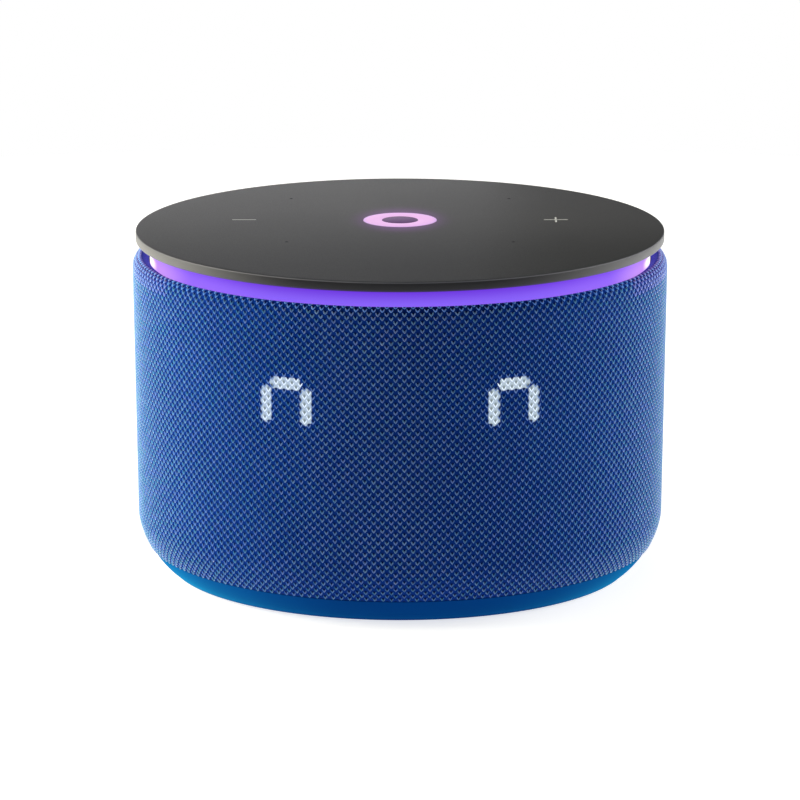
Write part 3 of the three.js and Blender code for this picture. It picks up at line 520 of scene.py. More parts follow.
def glow_material():
    g = Graph("icon_glow")
    x, y, _ = g.split(g.place())
    dy = g.math("SUBTRACT", y, LAYOUT_Y)
    edge = g.ramp(g.length(x, dy), ICON_RADIUS - 1.2 * MM, ICON_RADIUS)
    pink = g.mix(edge, (0.96, 0.53, 0.97), (0.78, 0.46, 0.94))
    g.set(Base_Color=(0.1, 0.08, 0.1, 1), Roughness=0.5)
    g.set(Emission_Color=pink, Emission_Strength=0.79)
    return g.material


def make_icon():
    top, low = LENS_HIGH.z, LENS_LOW.z
    edge = top - LENS_EDGE
    floor = CAP_LOW.z
    profile = [(0, floor), (ICON_INNER_RADIUS, floor), (ICON_INNER_RADIUS, edge)]
    profile += arc((ICON_INNER_RADIUS + LENS_EDGE, edge), LENS_EDGE, 180, 90, 3)
    profile += arc((ICON_RADIUS - LENS_EDGE, edge), LENS_EDGE, 90, 0, 3)
    profile += [(ICON_RADIUS, low), (0, low)]
    lens = lathe("glow_ring", profile, 160, [glow_material()])
    lens.data.transform(Matrix.Translation((0, LAYOUT_Y, 0)))
    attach(lens, "root")
    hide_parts("icon_ring_lens")

    radius = ICON_INNER_RADIUS - CAP_GAP
    profile = [(0, CAP_HIGH.z)]
    profile += arc((radius - CAP_EDGE, CAP_HIGH.z - CAP_EDGE), CAP_EDGE, 90, 0, 3)
    profile += [(radius, CAP_LOW.z + CAP_GAP), (0, CAP_LOW.z + CAP_GAP)]
    cap = lathe("ring_cap", profile, 96, [bpy.data.materials["touch_plate"]])
    cap.data.transform(Matrix.Translation((0, LAYOUT_Y, 0)))
    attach(cap, "root")
    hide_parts("icon_centre_cap")


def bar_outline(length, width, steps=6):
    """Flat bar with round ends along X."""
    half, r = length / 2 - width / 2, width / 2
    points = []
    for side in (1, -1):
        for i in range(steps + 1):
            angle = math.radians(-90 + 180 * i / steps) + (0 if side == 1 else math.pi)
            points.append((side * half + r * math.cos(angle), r * math.sin(angle)))
    return points


def make_marks():
    g = Graph("mark_print")
    wear = g.noise(1500.0, 2.0)
    g.set(Base_Color=g.mix(wear, (0.55, 0.55, 0.56), (0.75, 0.75, 0.76)), Roughness=0.6)
    for node, crossed in (("minus_mark", False), ("plus_mark", True)):
        low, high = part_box(node)
        centre = (low + high) / 2
        length = high.x - low.x
        bm = bmesh.new()
        turns = [0, math.pi / 2] if crossed else [0]
        for turn in turns:
            spin = Matrix.Rotation(turn, 3, "Z")
            places = [spin @ Vector((u, v, 0)) for u, v in bar_outline(length, MARK_WIDTH)]
            ring = [bm.verts.new((centre.x + p.x, centre.y + p.y, PLATE_HIGH.z)) for p in places]
            face = bm.faces.new(ring)
            lift = bmesh.ops.extrude_face_region(bm, geom=[face])
            raised = [v for v in lift["geom"] if isinstance(v, bmesh.types.BMVert)]
            bmesh.ops.translate(bm, verts=raised, vec=(0, 0, PRINT_RISE))
        bmesh.ops.recalc_face_normals(bm, faces=bm.faces)
        mesh = bpy.data.meshes.new(node)
        bm.to_mesh(mesh)
        bm.free()
        mark = new_object(node.replace("mark", "print"), mesh, [g.material])
        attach(mark, "root")
        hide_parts(node)


# ---------------------------------------------------------------- light ring

HOT_SPOT_Z = 97.2 * MM             # height of the bright spots at the ring's two sides
RING_WALL = 2.4 * MM
RING_COVE = 0.6 * MM


def ring_material():
    g = Graph("light_ring")
    x, y, z = g.split(g.place())
    side = g.math("DIVIDE", g.math("ABSOLUTE", x), LIGHT_RADIUS)
    # painted shade: the ring's colour darkens towards the top, under the plate
    height = g.ramp(z, 96.8 * MM, 101.6 * MM)
    front = g.mix(height, (0.25, 0.125, 0.93), (0.150, 0.040, 0.72))
    flank = g.mix(height, (0.30, 0.14, 0.93), (0.18, 0.055, 0.80))
    end = g.mix(height, (0.58, 0.30, 0.93), (0.36, 0.16, 0.86))
    body = g.mix(g.ramp(side, 0.45, 0.80), front, flank)
    body = g.mix(g.ramp(side, 0.80, 0.95), body, end)
    off_spot = g.math("ABSOLUTE", g.math("SUBTRACT", z, HOT_SPOT_Z))
    hot = g.math("MULTIPLY", g.ramp(side, 0.955, 0.988), g.ramp(off_spot, 2.4 * MM, 0.2 * MM))
    colour = g.mix(hot, body, (1.0, 0.90, 1.0))
    g.set(Base_Color=(0.02, 0.01, 0.06, 1), Roughness=0.5)
    g.set(Specular_Tint=(0.35, 0.15, 1, 1), Specular_IOR_Level=0.3)
    g.set(Emission_Color=colour, Emission_Strength=g.math("ADD", 1.0, g.math("MULTIPLY", hot, 0.8)))
    return g.material


def make_light_ring():
    low, top = RING_LOW.z, RING_HIGH.z
    inner_radius = LIGHT_RADIUS - RING_WALL
    shoulder = top - 2 * RING_COVE
    profile = [(inner_radius, low), (LIGHT_RADIUS, low), (LIGHT_RADIUS, shoulder)]
    profile += arc((LIGHT_RADIUS - RING_COVE, shoulder), RING_COVE, 0, 60, 5)[1:]
    profile += [(LIGHT_RADIUS - 2 * RING_COVE, top), (inner_radius, top)]
    ring = lathe("light_ring", profile, 256, [ring_material()], closed=True)
    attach(ring, "root")
    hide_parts("light_ring_diffuser")


# ---------------------------------------------------------------- knit

def in_panel(x, z, margin):
    """True where a point of the rear wall is inside the port panel's outline grown by a margin."""
    half_x = (PANEL_HIGH.x - PANEL_LOW.x) / 2 + margin
    half_z = (PANEL_HIGH.z - PANEL_LOW.z) / 2 + margin
    corner = PANEL_CORNER + margin
    dx = max(abs(x) - half_x + corner, 0)
    dz = max(abs(z - PORT_Z) - half_z + corner, 0)
    return math.hypot(dx, dz) < corner


def knit_pattern(g):
    """1 on the yarn and 0 in the hole above each stitch, from the cloth's stitch coordinates."""
    u, v, _ = g.split(g.node("UVMap", uv_map="knit").outputs[0])
    pitch_x = 2 * math.pi * BODY_RADIUS / STITCHES_AROUND
    pitch_y = 2 * ROW_PITCH

    def offset(value, shift, pitch):
        turned = g.math("FRACT", g.math("ADD", value, 0.5 - shift))
        return g.math("MULTIPLY", g.math("SUBTRACT", turned, 0.5), pitch)

    def hole(shift):
        dx = g.math("MULTIPLY", offset(u, shift, pitch_x), HOLE_NARROW)
        dy = offset(g.math("MULTIPLY", v, 0.5), shift + HOLE_ROW, pitch_y)
        return g.length(dx, dy)

    nearest = g.math("MINIMUM", hole(0.0), hole(0.5))
    return g.ramp(nearest, 0.10 * MM, 0.95 * MM)


def lit_mask(g, thread):
    """1 over the lit segments of the display, with an edge that follows the stitches."""
    x, y, z = g.split(g.place())
    angle = g.math("ABSOLUTE", g.math("ARCTAN2", x, g.math("MULTIPLY", y, -1.0)))
    across = g.math("MULTIPLY", g.math("SUBTRACT", angle, math.radians(LIT_DIGITS[1])), BODY_RADIUS)
    across = g.math("ABSOLUTE", across)
    up = g.math("SUBTRACT", z, DISPLAY_Z)
    distances = []
    for cx, cy, length, upright in segments():
        if cx < 0:
            continue
        aside = g.math("ABSOLUTE", g.math("SUBTRACT", across, cx))
        above = g.math("ABSOLUTE", g.math("SUBTRACT", up, cy))
        long, wide = (above, aside) if upright else (aside, above)
        pointed = g.math("ADD", long, g.math("MULTIPLY", wide, SEGMENT_POINT))
        end = g.math("SUBTRACT", pointed, length / 2)
        side = g.math("SUBTRACT", wide, SEGMENT_WIDTH / 2)
        distances.append(g.math("MAXIMUM", end, side))
    edge = g.math("MINIMUM", *distances)
    edge = g.math("SUBTRACT", edge, g.math("MULTIPLY", g.math("SUBTRACT", thread, 0.6), 0.5 * MM))
    return g.ramp(edge, 0.25 * MM, -0.25 * MM)


def ground_material(name, lit):
    g = Graph(name)
    thread = knit_pattern(g)
    broad = g.noise(45.0)
    hole = (0.0003, 0.0038, 0.050)
    yarn = g.mix(g.ramp(broad, 0.3, 0.7), (0.0005, 0.022, 0.192), (0.0008, 0.027, 0.215))
    g.set(Base_Color=g.mix(thread, hole, yarn), Roughness=0.85)
    g.set(Sheen_Weight=0.12, Sheen_Roughness=0.3, Sheen_Tint=(0.4, 0.65, 1, 1))
    g.set(Specular_IOR_Level=0.1, Specular_Tint=(0.2, 0.5, 1, 1))
    # painted glow: over the lit digits the cloth emits their light as if it came through
    if lit:
        g.set(Emission_Color=g.mix(thread, (0.20, 0.25, 0.23), (0.46, 0.54, 0.51)))
        g.set(Emission_Strength=lit_mask(g, thread))
    else:
        # painted light: the turned-in lip glows violet as if lit by the ring
        x, y, z = g.split(g.place())
        edge = BODY_RADIUS - SHOULDER_DROP
        spill = g.ramp(g.length(x, y), edge + 0.6 * MM, edge - LIP)
        spill = g.math("MULTIPLY", spill, g.ramp(z, SHOULDER_Z, FABRIC_HIGH.z - LIP))
        g.set(Emission_Color=(0.11, 0.035, 0.60, 1), Emission_Strength=g.math("MULTIPLY", spill, 0.3))
    g.bump(thread, 0.8, 0.2 * MM)
    return g.material


def make_ground():
    """The knitted cloth itself: one fine sheet over the shell, with its edges turned in."""
    sides = 2 * STITCHES_AROUND
    s = np.arange(0, ROWS + 1) * ROW_PITCH
    s[-1] = OUTLINE_LENGTH[-1]
    r, z, _, _ = along_outline(s)
    profile = [(r[0] - 1.4 * MM, z[0] + 0.5 * MM), (r[0] - 0.5 * MM, z[0])]
    profile += [(a - CLOTH_SINK, b) for a, b in zip(r, z)]
    profile.append((LIGHT_RADIUS + 0.3 * MM, z[-1] - 0.2 * MM))
    verts, faces, marks = [], [], []
    for radius, height in profile:
        for i in range(sides):
            angle = 2 * math.pi * i / sides
            verts.append((radius * math.sin(angle), -radius * math.cos(angle), height))
    for k in range(len(profile) - 1):
        row = k - 2
        for i in range(sides):
            j = (i + 1) % sides
            angle = 2 * math.pi * (i + 0.5) / sides
            x = BODY_RADIUS * math.sin(angle)
            behind = math.cos(angle) < 0
            mid = (profile[k][1] + profile[k + 1][1]) / 2
            if behind and in_panel(x, mid, 0.5 * MM):
                continue
            faces.append((k * sides + i, k * sides + j, (k + 1) * sides + j, (k + 1) * sides + i))
            marks += [(i / 2, row), ((i + 1) / 2, row), ((i + 1) / 2, row + 1), (i / 2, row + 1)]
    mesh = bpy.data.meshes.new("knit_ground")
    mesh.from_pydata(verts, [], faces)
    layer = mesh.uv_layers.new(name="knit")
    layer.data.foreach_set("uv", np.array(marks, np.float32).ravel())
    smooth(mesh, 50)
    ground = new_object("knit_ground", mesh, [ground_material("knit_ground", False)])
    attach(ground, "root")
    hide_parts("fabric_sleeve")
    return ground


def segments():
    """Centre, size and direction of the lit segments of a digit: the top bar and two uprights."""
    bar = (0.0, DIGIT_HALF_HEIGHT - SEGMENT_WIDTH / 2, SEGMENT_H_LENGTH, False)
    height = SEGMENT_GAP + SEGMENT_V_LENGTH / 2
    sides = [(side * SEGMENT_V_OFFSET, height, SEGMENT_V_LENGTH, True) for side in (-1, 1)]
    return [bar, *sides]


def in_segment(angle, z, grow=0.0):
    """True where a place on the wall lies over a lit segment."""
    for digit in LIT_DIGITS:
        u = (angle - math.radians(digit)) * BODY_RADIUS
        v = z - DISPLAY_Z
        for cx, cy, length, upright in segments():
            a, b = (v - cy, u - cx) if upright else (u - cx, v - cy)
            half, tip = length / 2 + grow, SEGMENT_WIDTH / 2 + grow
            if abs(b) < tip and abs(a) < half - SEGMENT_POINT * abs(b):
                return True
    return False


STITCH_PATH = np.array([
    # across and up as shares of the stitch, height above the cloth, width as a share of the yarn
    (-1.00, 1.00, 0.30, 0.70),
    (-0.58, 0.50, 0.95, 1.05),
    (0.00, 0.00, 1.00, 1.15),
    (0.58, 0.50, 0.95, 1.05),
    (1.00, 1.00, 0.30, 0.70),
])


def stitch_frames(places, spread):
    """Centre line, sideways and outward directions of the stitches at (column, row) places."""
    u = places[:, 0][:, None] * (2 * math.pi / STITCHES_AROUND)
    s0 = (places[:, 1] + 0.35)[:, None] * ROW_PITCH
    across = STITCH_PATH[None, :, 0] * STITCH_HALF_WIDTH * spread
    s = s0 + STITCH_PATH[None, :, 1] * STITCH_HEIGHT - 0.25 * STITCH_HEIGHT
    r, z, nr, nz = along_outline(s)
    angle = u + across / BODY_RADIUS
    return angle, r, z, nr, nz


def stitches(name, places, material, spread=1.0):
    """One mesh of V stitches: each a yarn ridge on a line of five points."""
    angle, r, z, nr, nz = stitch_frames(places, spread)
    count = len(places)
    half = YARN_WIDTH / 2 * STITCH_PATH[:, 3]
    height = YARN_RISE * STITCH_PATH[:, 2]
    along = np.gradient(STITCH_PATH[:, :2] * (STITCH_HALF_WIDTH * spread, STITCH_HEIGHT), axis=0)
    along /= np.linalg.norm(along, axis=1)[:, None]
    left = np.stack([-along[:, 1], along[:, 0]], 1)
    rings = []
    for side, lift in ((1.0, -YARN_SINK), (0.0, None), (-1.0, -YARN_SINK)):
        push = height if lift is None else np.full(len(STITCH_PATH), lift)
        a = angle + left[None, :, 0] * side * half / BODY_RADIUS
        rise_by = left[None, :, 1] * side * half
        radius = r + nr * push - nz * rise_by
        high = z + nz * push + nr * rise_by
        rings.append(np.stack([radius * np.sin(a), -radius * np.cos(a), high], -1))
    verts = np.stack(rings, 2).reshape(-1, 3)
    steps = len(STITCH_PATH)
    quads = []
    for k in range(steps - 1):
        for c in range(3):
            d = (c + 1) % 3
            quads.append((3 * k + c, 3 * k + d, 3 * k + 3 + d, 3 * k + 3 + c))
    base = (np.arange(count) * 3 * steps)[:, None, None]
    quads = (np.array(quads)[None] + base).reshape(-1, 4)
    last = 3 * steps
    caps = np.array([(2, 1, 0), (last - 3, last - 2, last - 1)])
    ends = (caps[None] + base).reshape(-1, 3)
    mesh = bpy.data.meshes.new(name)
    loops = np.concatenate([quads.ravel(), ends.ravel()])
    sizes = np.concatenate([np.full(len(quads), 4), np.full(len(ends), 3)])
    mesh.vertices.add(len(verts))
    mesh.vertices.foreach_set("co", verts.ravel())
    mesh.loops.add(len(loops))
    mesh.loops.foreach_set("vertex_index", loops)
    mesh.polygons.add(len(sizes))
    mesh.polygons.foreach_set("loop_start", np.concatenate([[0], np.cumsum(sizes)[:-1]]))
    mesh.polygons.foreach_set("use_smooth", np.ones(len(sizes), bool))
    mesh.update(calc_edges=True)
    mesh.validate()
    piece = new_object(name, mesh, [material])
    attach(piece, "root")
    return piece


def yarn_material(name, colour, light=None):
    g = Graph(name)
    g.set(Base_Color=(*colour, 1), Roughness=0.7)
    g.set(Specular_IOR_Level=0.3, Specular_Tint=(0.4, 0.65, 1, 1))
    g.set(Sheen_Weight=0.9, Sheen_Roughness=0.28, Sheen_Tint=(0.96, 0.90, 0.92, 1))
    if light:
        g.set(Emission_Color=(*light, 1), Emission_Strength=1.0)
    return g.material


def make_stitches():
    rng = np.random.default_rng(SEED)
    groups = [[] for _ in YARN_TINTS]
    lit, near, spill, lip = [], [], [], []
    for row in range(ROWS - 1):
        s = (row + 0.6) * ROW_PITCH
        z = float(np.interp(s, OUTLINE_LENGTH, OUTLINE[:, 1]))
        shade_of = rng.integers(0, len(YARN_TINTS), STITCHES_AROUND)
        for column in range(STITCHES_AROUND):
            place = column + 0.5 * (row % 2)
            angle = place * 2 * math.pi / STITCHES_AROUND
            signed = angle if angle < math.pi else angle - 2 * math.pi
            x = BODY_RADIUS * math.sin(angle)
            if abs(signed) > math.pi / 2 and in_panel(x, z, (BEZEL + 0.6) * MM):
                continue
            if in_segment(signed, z, -0.25 * MM):
                lit.append((place, row))
            elif in_segment(signed, z, HALO):
                near.append((place, row))
            elif z > SPILL_LOW and abs(x) > SPILL_SIDE * BODY_RADIUS:
                spill.append((place, row))
            elif z > LIP_LOW:
                lip.append((place, row))
            else:
                groups[shade_of[column]].append((place, row))
    pieces = []
    for k, places in enumerate(groups):
        mat = yarn_material(f"yarn_{k + 1}", tuple(YARN_BLUE * YARN_TINTS[k]))
        pieces.append(stitches(f"knit_stitches_{k + 1}", np.array(places, float), mat))
    # painted glow: the lit stitches emit the digits' light as if it came through the cloth, and the halo
    # stitches round them glow faintly
    glows = (("lit", lit, (0.78, 0.84, 0.84), 1.15), ("halo", near, (0.06, 0.10, 0.20), 1.0))
    for name, places, light, spread in glows:
        g = Graph(f"{name}_yarn")
        g.set(Base_Color=(0.10, 0.19, 0.46, 1), Roughness=0.8)
        g.set(Emission_Color=(*light, 1), Emission_Strength=1.0)
        glow = stitches(f"{name}_stitches", np.array(places, float), g.material, spread=spread)
        pieces.append(glow)
    # painted light: these stitches glow as if lit by the ring
    by_ring = (("spill", spill, (0.09, 0.018, 0.16)), ("lip", lip, (0.015, 0.035, 0.17)))
    for name, places, light in by_ring:
        near_ring = yarn_material(f"{name}_yarn", tuple(YARN_BLUE), light)
        pieces.append(stitches(f"{name}_stitches", np.array(places, float), near_ring))
    return pieces


def make_lit_ground():
    """Patches of the cloth over the two lit digits, with the light coming through painted on as emission.
    """
    half_width = SEGMENT_V_OFFSET + SEGMENT_WIDTH
    first_row = int((DISPLAY_Z - FABRIC_LOW.z) / ROW_PITCH)
    rows = range(first_row, first_row + int(1.25 * DIGIT_HALF_HEIGHT / ROW_PITCH) + 4)
    verts, faces, marks = [], [], []
    for digit in LIT_DIGITS:
        centre = 2 * STITCHES_AROUND * digit / 360
        reach = 2 * STITCHES_AROUND * half_width / (2 * math.pi * BODY_RADIUS)
        columns = range(math.floor(centre - reach), math.ceil(centre + reach) + 1)
        start = len(verts)
        for row in rows:
            r, z, _, _ = along_outline(row * ROW_PITCH)
            for column in columns:
                angle = math.pi * column / STITCHES_AROUND
                radius = r - CLOTH_SINK + 0.02 * MM
                verts.append((radius * math.sin(angle), -radius * math.cos(angle), z))
        across = len(columns)
        for k, row in enumerate(rows[:-1]):
            for i, column in enumerate(columns[:-1]):
                a = start + k * across + i
                faces.append((a, a + 1, a + 1 + across, a + across))
                u0, u1 = column / 2, (column + 1) / 2
                marks += [(u0, row), (u1, row), (u1, row + 1), (u0, row + 1)]
    mesh = bpy.data.meshes.new("lit_ground")
    mesh.from_pydata(verts, [], faces)
    layer = mesh.uv_layers.new(name="knit")
    layer.data.foreach_set("uv", np.array(marks, np.float32).ravel())
    smooth(mesh, 50)
    patch = new_object("lit_ground", mesh, [ground_material("lit_ground", True)])
    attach(patch, "root")
    return patch


def make_knit():
    ground = make_ground()
    on_it = [*make_stitches(), make_lit_ground()]


# ---------------------------------------------------------------- base

BASE_STEPS = 16
BASE_OPENING = 66 * MM             # radius of the opening that takes the bottom cover
LEDGE_INNER = 57 * MM              # inner radius of the ledge above that opening
LEDGE_LOW = 3.3 * MM
LEDGE_HIGH = 5.5 * MM
SPIGOT_HEIGHTS = (11 * MM, 14 * MM, 18 * MM, 22 * MM)
SPIGOT_INSET = 3.5 * MM
SPIGOT_WALL = 2.2 * MM
BASE_FOOT = 0.5 * MM               # height of the rounded lower edge


def base_material():
    g = Graph("base_plastic")
    fine = g.noise(1800.0, 2.0)
    broad = g.noise(30.0)
    skin = g.mix(g.ramp(broad, 0.3, 0.7), (0.001, 0.034, 0.185), (0.001, 0.040, 0.205))
    g.set(Base_Color=skin, Roughness=g.ramp(fine, 0.2, 0.8, 0.5, 0.6))
    g.set(Specular_IOR_Level=0.0)
    g.set(Sheen_Weight=0.35, Sheen_Roughness=0.4, Sheen_Tint=(0.03, 0.55, 0.9, 1))
    g.bump(fine, 0.3, 0.015 * MM)
    return g.material


def make_base():
    low = BASE_LOW.z
    top = FABRIC_LOW.z - 0.25 * MM
    visible = []
    for i in range(BASE_STEPS + 1):
        z = low + BASE_FOOT + (top - low - BASE_FOOT) * i / BASE_STEPS
        visible.append((body_radius(z) - 0.15 * MM, z))
    first = visible[0]
    last = visible[-1][0]
    profile = [(BASE_OPENING, low), (first[0] - 0.9 * MM, low), (first[0] - 0.25 * MM, low + 0.15 * MM)]
    profile += visible
    profile += [(last - 0.4 * MM, top + 0.3 * MM), (last - 3.4 * MM, top + 0.4 * MM)]
    spigot = [(body_radius(z) - SPIGOT_INSET, z) for z in SPIGOT_HEIGHTS]
    profile += spigot
    profile += [(r - SPIGOT_WALL, z) for r, z in reversed(spigot)]
    profile += [(BASE_OPENING, LEDGE_HIGH), (LEDGE_INNER, LEDGE_HIGH)]
    profile += [(LEDGE_INNER, LEDGE_LOW), (BASE_OPENING, LEDGE_LOW)]
    base = lathe("base_shell", profile, 256, [base_material()], closed=True)
    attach(base, "root")
    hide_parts("base_ring")


# ---------------------------------------------------------------- rear panel

LOOP_ALONG = 24                    # steps of a rounded loop: long side, short side, corner
LOOP_UP = 4
LOOP_TURN = 6
BLOCK_HALF = (20 * MM, 7.5 * MM)   # each HALF is a half width and a half height
BLOCK_FACE = 77 * MM
RECESS_HALF = (6.7 * MM, 3.8 * MM)
RECESS_FLOOR = 73.5 * MM
MOUTH_HALF = (4.8 * MM, 1.95 * MM)
SOCKET_HALF = (4.5 * MM, 1.65 * MM)
SOCKET_WALL = 0.3 * MM
TONGUE_HALF = (3.35 * MM, 0.35 * MM)
INNER_Y = 60 * MM                  # cutters start here, well inside the body
OUTER_Y = 90 * MM
MOUTH_Y = 80 * MM
BORE_RADIUS = 4.5 * MM
FLANGE_BORE_RADIUS = 5.8 * MM
FLANGE_BORE_FACE = 70 * MM
BUTTON_RADIUS = 4.2 * MM
BUTTON_FLANGE = 5.4 * MM
BUTTON_FLANGE_THICK = 2 * MM
BUTTON_EDGE = 0.45 * MM


def rounded_loop(half_width, half_height, corner):
    """Closed loop of a rounded rectangle. The bottom side comes first, left to right."""
    cx, cz = half_width - corner, half_height - corner
    along = [cx * (2 * i / LOOP_ALONG - 1) for i in range(LOOP_ALONG + 1)]
    up = [cz * (2 * i / LOOP_UP - 1) for i in range(LOOP_UP + 1)]

    def turn(x, z, start):
        return [(x + a, z + b) for a, b in arc((0, 0), corner, start, start + 90, LOOP_TURN)[1:-1]]

    points = [(a, -half_height) for a in along] + turn(cx, -cz, -90)
    points += [(half_width, b) for b in up] + turn(cx, cz, 0)
    points += [(-a, half_height) for a in along] + turn(-cx, cz, 90)
    points += [(-half_width, -b) for b in up] + turn(-cx, -cz, 180)
    return points


def loft(name, loops, materials=()):
    """Closed solid through rounded loops that are already placed in space."""
    count = len(loops[0])
    faces = []
    for k in range(len(loops) - 1):
        for i in range(count):
            j = (i + 1) % count
            faces.append((k * count + i, k * count + j, (k + 1) * count + j, (k + 1) * count + i))
    top_start = LOOP_ALONG + 1 + 2 * (LOOP_TURN - 1) + LOOP_UP + 1
    for start in (0, (len(loops) - 1) * count):
        for i in range(LOOP_ALONG):
            far = top_start + LOOP_ALONG - i
            faces.append([start + n for n in (i, i + 1, far - 1, far)])
        faces.append([start + n for n in range(LOOP_ALONG, top_start + 1)])
        faces.append([start + n % count for n in range(top_start + LOOP_ALONG, count + 1)])
    mesh = bpy.data.meshes.new(name)
    mesh.from_pydata([p for loop in loops for p in loop], [], faces)
    mesh.validate()
    make_outward(mesh)
    smooth(mesh, 30)
    return new_object(name, mesh, materials)


def rear_block(name, half, corner, y_low, y_high, x=0.0, materials=()):
    """Rounded bar along Y at the panel's centre height; half is its half width and half height."""
    flat = rounded_loop(*half, corner)
    loops = [[(x + a, y, PORT_Z + b) for a, b in flat] for y in (y_low, y_high)]
    return loft(name, loops, materials=materials)


def on_rear_wall(x, z, lift):
    radius = body_radius(z) + lift
    return (x, math.sqrt(radius * radius - x * x), z)


def rear_rod(name, profile, x, materials=()):
    """Turned piece about an axis along Y; profile points are (radius, y)."""
    rod = lathe(name, profile, 64, materials)
    turn = Matrix(((1, 0, 0, x), (0, 0, 1, 0), (0, -1, 0, PORT_Z), (0, 0, 0, 1)))
    rod.data.transform(turn)
    make_outward(rod.data)
    return rod


def make_rear(plastic, steel):
    half_x = (PANEL_HIGH.x - PANEL_LOW.x) / 2
    half_z = (PANEL_HIGH.z - PANEL_LOW.z) / 2
    # mm the outline grows and mm above the wall, from the rim's back over its edge to the face
    levels = [(BEZEL, -2.9), (BEZEL, 0.06), (BEZEL - 0.1, 0.2), (BEZEL - 0.35, 0.28), (0.45, 0.28),
              (0.2, 0.22), (0.0, 0.0), (-0.25, -0.1), (-3.0, -0.1), (-5.3, -0.1)]
    loops = []
    for grow, lift in levels:
        grow, lift = grow * MM, lift * MM
        flat = rounded_loop(half_x + grow, half_z + grow, PANEL_CORNER + grow)
        loops.append([on_rear_wall(x, PORT_Z + b, lift) for x, b in flat])
    panel = loft("rear_panel", loops, materials=[plastic])
    boolean(panel, rear_block("block", BLOCK_HALF, 1 * MM, PANEL_LOW.y, BLOCK_FACE), "UNION")
    recess_x = (SOCKET_LOW.x + SOCKET_HIGH.x) / 2
    button_x = (BUTTON_LOW.x + BUTTON_HIGH.x) / 2
    boolean(panel, rear_block("recess", RECESS_HALF, 1.4 * MM, RECESS_FLOOR, OUTER_Y, recess_x))
    boolean(panel, rear_block("mouth", MOUTH_HALF, 1.9 * MM, INNER_Y, MOUTH_Y, recess_x))
    for radius, reach in ((BORE_RADIUS, OUTER_Y), (FLANGE_BORE_RADIUS, FLANGE_BORE_FACE)):
        profile = [(0, INNER_Y), (radius, INNER_Y), (radius, reach), (0, reach)]
        boolean(panel, rear_rod("bore", profile, button_x))
    smooth(panel.data, 30)
    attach(panel, "root")
    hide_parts("port_panel")
    make_socket(recess_x, steel)
    make_mute_cap(button_x, plastic)


def make_socket(x, steel):
    back, face = SOCKET_LOW.y, SOCKET_HIGH.y
    corner = 1.6 * MM
    shell = rear_block("socket_shell", SOCKET_HALF, corner, back, face, x, [steel])
    hollow = [size - SOCKET_WALL for size in SOCKET_HALF]
    boolean(shell, rear_block("hollow", hollow, corner - SOCKET_WALL, back + 1 * MM, MOUTH_Y, x))
    tongue = rear_block("tongue", TONGUE_HALF, 0.3 * MM, back + 0.5 * MM, face - 0.6 * MM, x)
    boolean(shell, tongue, "UNION")
    smooth(shell.data, 30)
    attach(shell, "root")
    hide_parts("power_socket")


def make_mute_cap(x, plastic):
    """Button with a flange behind and a slightly dished face."""
    face, back = BUTTON_HIGH.y, BUTTON_LOW.y
    step = back + BUTTON_FLANGE_THICK
    profile = [(0, back), (BUTTON_FLANGE, back), (BUTTON_FLANGE, step), (BUTTON_RADIUS, step)]
    profile += arc((BUTTON_RADIUS - BUTTON_EDGE, face - BUTTON_EDGE), BUTTON_EDGE, 0, 90, 6)
    profile += [(BUTTON_RADIUS - 1.0 * MM, face - 0.03 * MM), (1.8 * MM, face - 0.24 * MM)]
    profile += [(0, face - 0.3 * MM)]
    button = rear_rod("mute_cap", profile, x, [plastic])
    smooth(button.data, 30)
    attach(button, "mute_button")
    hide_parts("mute_button")


# ---------------------------------------------------------------- underside

COVER_EDGE = 0.3 * MM
SCREWS = (1, 2, 3, 4)
HEAD_RADIUS = 3 * MM
HEAD_HEIGHT = 1 * MM
SHANK_RADIUS = 1.5 * MM
SCREW_GAP = 0.3 * MM
DRIVE_DEPTH = 0.7 * MM
OVERCUT = 1 * MM                   # cutters run past the faces by this much
FOOT_WIDTH = 8 * MM
FOOT_EDGE = 0.35 * MM
FOOT_TREAD = 2.5 * MM              # width of each of the two ridges that touch the table
FOOT_GROOVE = 0.25 * MM


def cover_screw(i, low, high, steel):
    """Screw on the Z axis with a cross drive in its head."""
    neck = low + HEAD_HEIGHT
    profile = [(0, low), (2.2 * MM, low), (2.8 * MM, low + 0.3 * MM), (HEAD_RADIUS, neck),
               (SHANK_RADIUS, neck), (SHANK_RADIUS, high), (0, high)]
    screw = lathe(f"cover_screw_{i}", profile, 40, [steel])
    flat = rounded_loop(1.5 * MM, 0.3 * MM, 0.25 * MM)
    for turn in (0, math.pi / 2):
        loops = [[(a, b, z) for a, b in flat] for z in (low - OVERCUT, low + DRIVE_DEPTH)]
        blade = loft("blade", loops)
        blade.data.transform(Matrix.Rotation(turn + math.radians(20 * i), 4, "Z"))
        boolean(screw, blade)
    return screw


def make_cover(plastic, steel):
    low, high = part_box("bottom_cover")
    radius = high.x
    profile = [(0, high.z), (radius, high.z), (radius, low.z + COVER_EDGE)]
    profile += [(radius - COVER_EDGE, low.z), (0, low.z)]
    cover = lathe("bottom_plate", profile, 160, [plastic])
    start = low.z - OVERCUT
    sink = low.z + 1.1 * MM
    for i in SCREWS:
        screw_low, screw_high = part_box(f"base_screw_{i}")
        centre = (screw_low + screw_high) / 2
        boolean(cover, cylinder(HEAD_RADIUS + SCREW_GAP, start, sink, centre.x, centre.y, 32))
        boolean(cover, cylinder(SHANK_RADIUS + SCREW_GAP, start, high.z + OVERCUT, centre.x, centre.y, 24))
        screw = cover_screw(i, screw_low.z, screw_high.z, steel)
        screw.data.transform(Matrix.Translation((centre.x, centre.y, 0)))
        smooth(screw.data, 30)
        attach(screw, "root")
        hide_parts(f"base_screw_{i}")
    smooth(cover.data, 30)
    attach(cover, "root")
    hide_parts("bottom_cover")


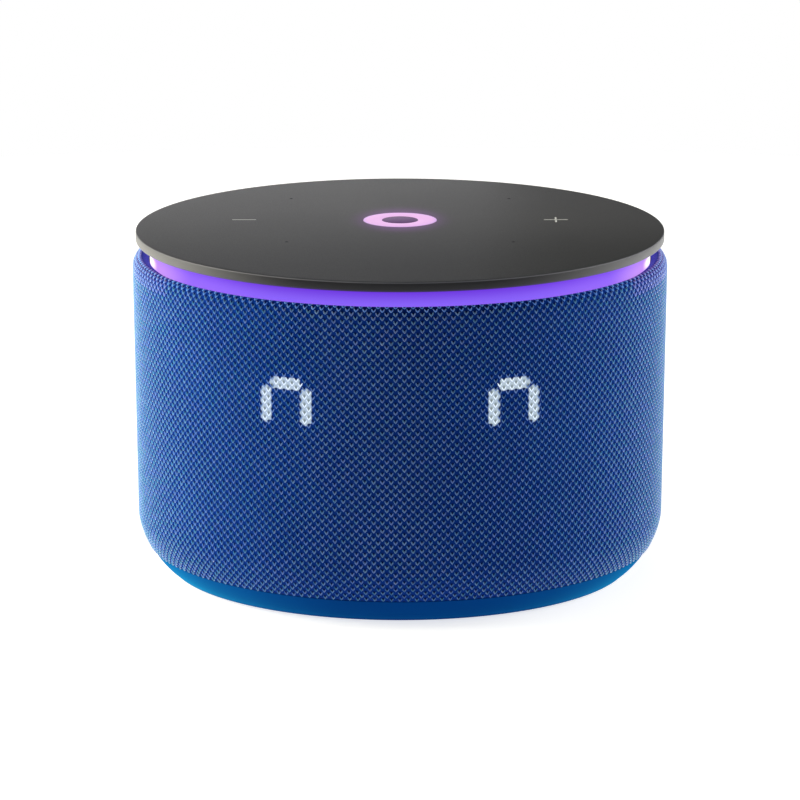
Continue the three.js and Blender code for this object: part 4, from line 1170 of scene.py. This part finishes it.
def make_foot(rubber):
    """Rubber ring with two ridges and a shallow groove between them."""
    low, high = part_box("foot_ring")
    outer, inner = high.x, high.x - FOOT_WIDTH
    groove = low.z + FOOT_GROOVE
    side = FOOT_TREAD + 0.3 * MM
    profile = [(inner, high.z)]
    profile += arc((inner + FOOT_EDGE, low.z + FOOT_EDGE), FOOT_EDGE, 180, 270, 4)
    profile += [(inner + FOOT_TREAD, low.z), (inner + side, groove)]
    profile += [(outer - side, groove), (outer - FOOT_TREAD, low.z)]
    profile += arc((outer - FOOT_EDGE, low.z + FOOT_EDGE), FOOT_EDGE, 270, 360, 4)
    profile += [(outer, high.z)]
    foot = lathe("rubber_foot", profile, 160, [rubber], closed=True)
    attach(foot, "root")
    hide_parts("foot_ring")


# ---------------------------------------------------------------- carried-over pieces

def dress_frame():
    """Materials for the pieces that keep their own solids."""
    looks = {
        "black_plastic": bpy.data.materials["black_plastic"],
        "panel_plastic": bpy.data.materials["panel_plastic"],
        "rubber": bpy.data.materials["rubber"],
        "steel": bpy.data.materials["steel"],
        "plate_metal": bpy.data.materials["touch_plate"],
        "blue_plastic": bpy.data.materials["base_plastic"],
        "ring_light": bpy.data.materials["light_ring"],
        "icon_light": bpy.data.materials["icon_glow"],
        "print": bpy.data.materials["mark_print"],
        "display_light": mottled("segment_sheet", (0.85, 0.87, 0.9), 0.6, mottle=0.08),
        "clear_plastic": mottled("light_guide", (0.82, 0.83, 0.85), 0.3, mottle=0.06),
        "circuit_board": mottled("circuit_board", (0.012, 0.10, 0.045), 0.45, scale=400.0, mottle=0.4),
        "aluminium": mottled("aluminium", (0.66, 0.67, 0.69), 0.38, metal=1.0, scale=300.0, mottle=0.1),
        "cone_paper": mottled("cone_paper", (0.025, 0.026, 0.028), 0.9, scale=700.0, mottle=0.45),
        "ferrite": mottled("ferrite", (0.035, 0.035, 0.038), 0.75, scale=900.0, mottle=0.35),
        "flat_cable": mottled("flat_cable", (0.74, 0.71, 0.62), 0.5, scale=200.0, mottle=0.1),
        "fabric": bpy.data.materials["knit_ground"],
    }
    slot_of = {row["node"]: row["material_slot"] for row in frame["record"]["subparts"]}
    for name, node in frame["nodes"].items():
        node.data.materials.clear()
        node.data.materials.append(looks[slot_of[name]])


make_camera()
make_studio()
make_plate()
make_icon()
make_marks()
make_light_ring()
make_knit()
make_base()
black = moulded("black_plastic", (0.013, 0.013, 0.015), 0.55)
panel_grey = moulded("panel_plastic", (0.018, 0.020, 0.026), 0.5)
black_rubber = moulded("rubber", (0.016, 0.016, 0.018), 0.8, grain=0.5 * MM)
bright_steel = mottled("steel", (0.56, 0.57, 0.59), 0.32, metal=1.0, scale=300.0, mottle=0.12)
make_rear(panel_grey, bright_steel)
make_cover(black, bright_steel)
make_foot(black_rubber)
dress_frame()
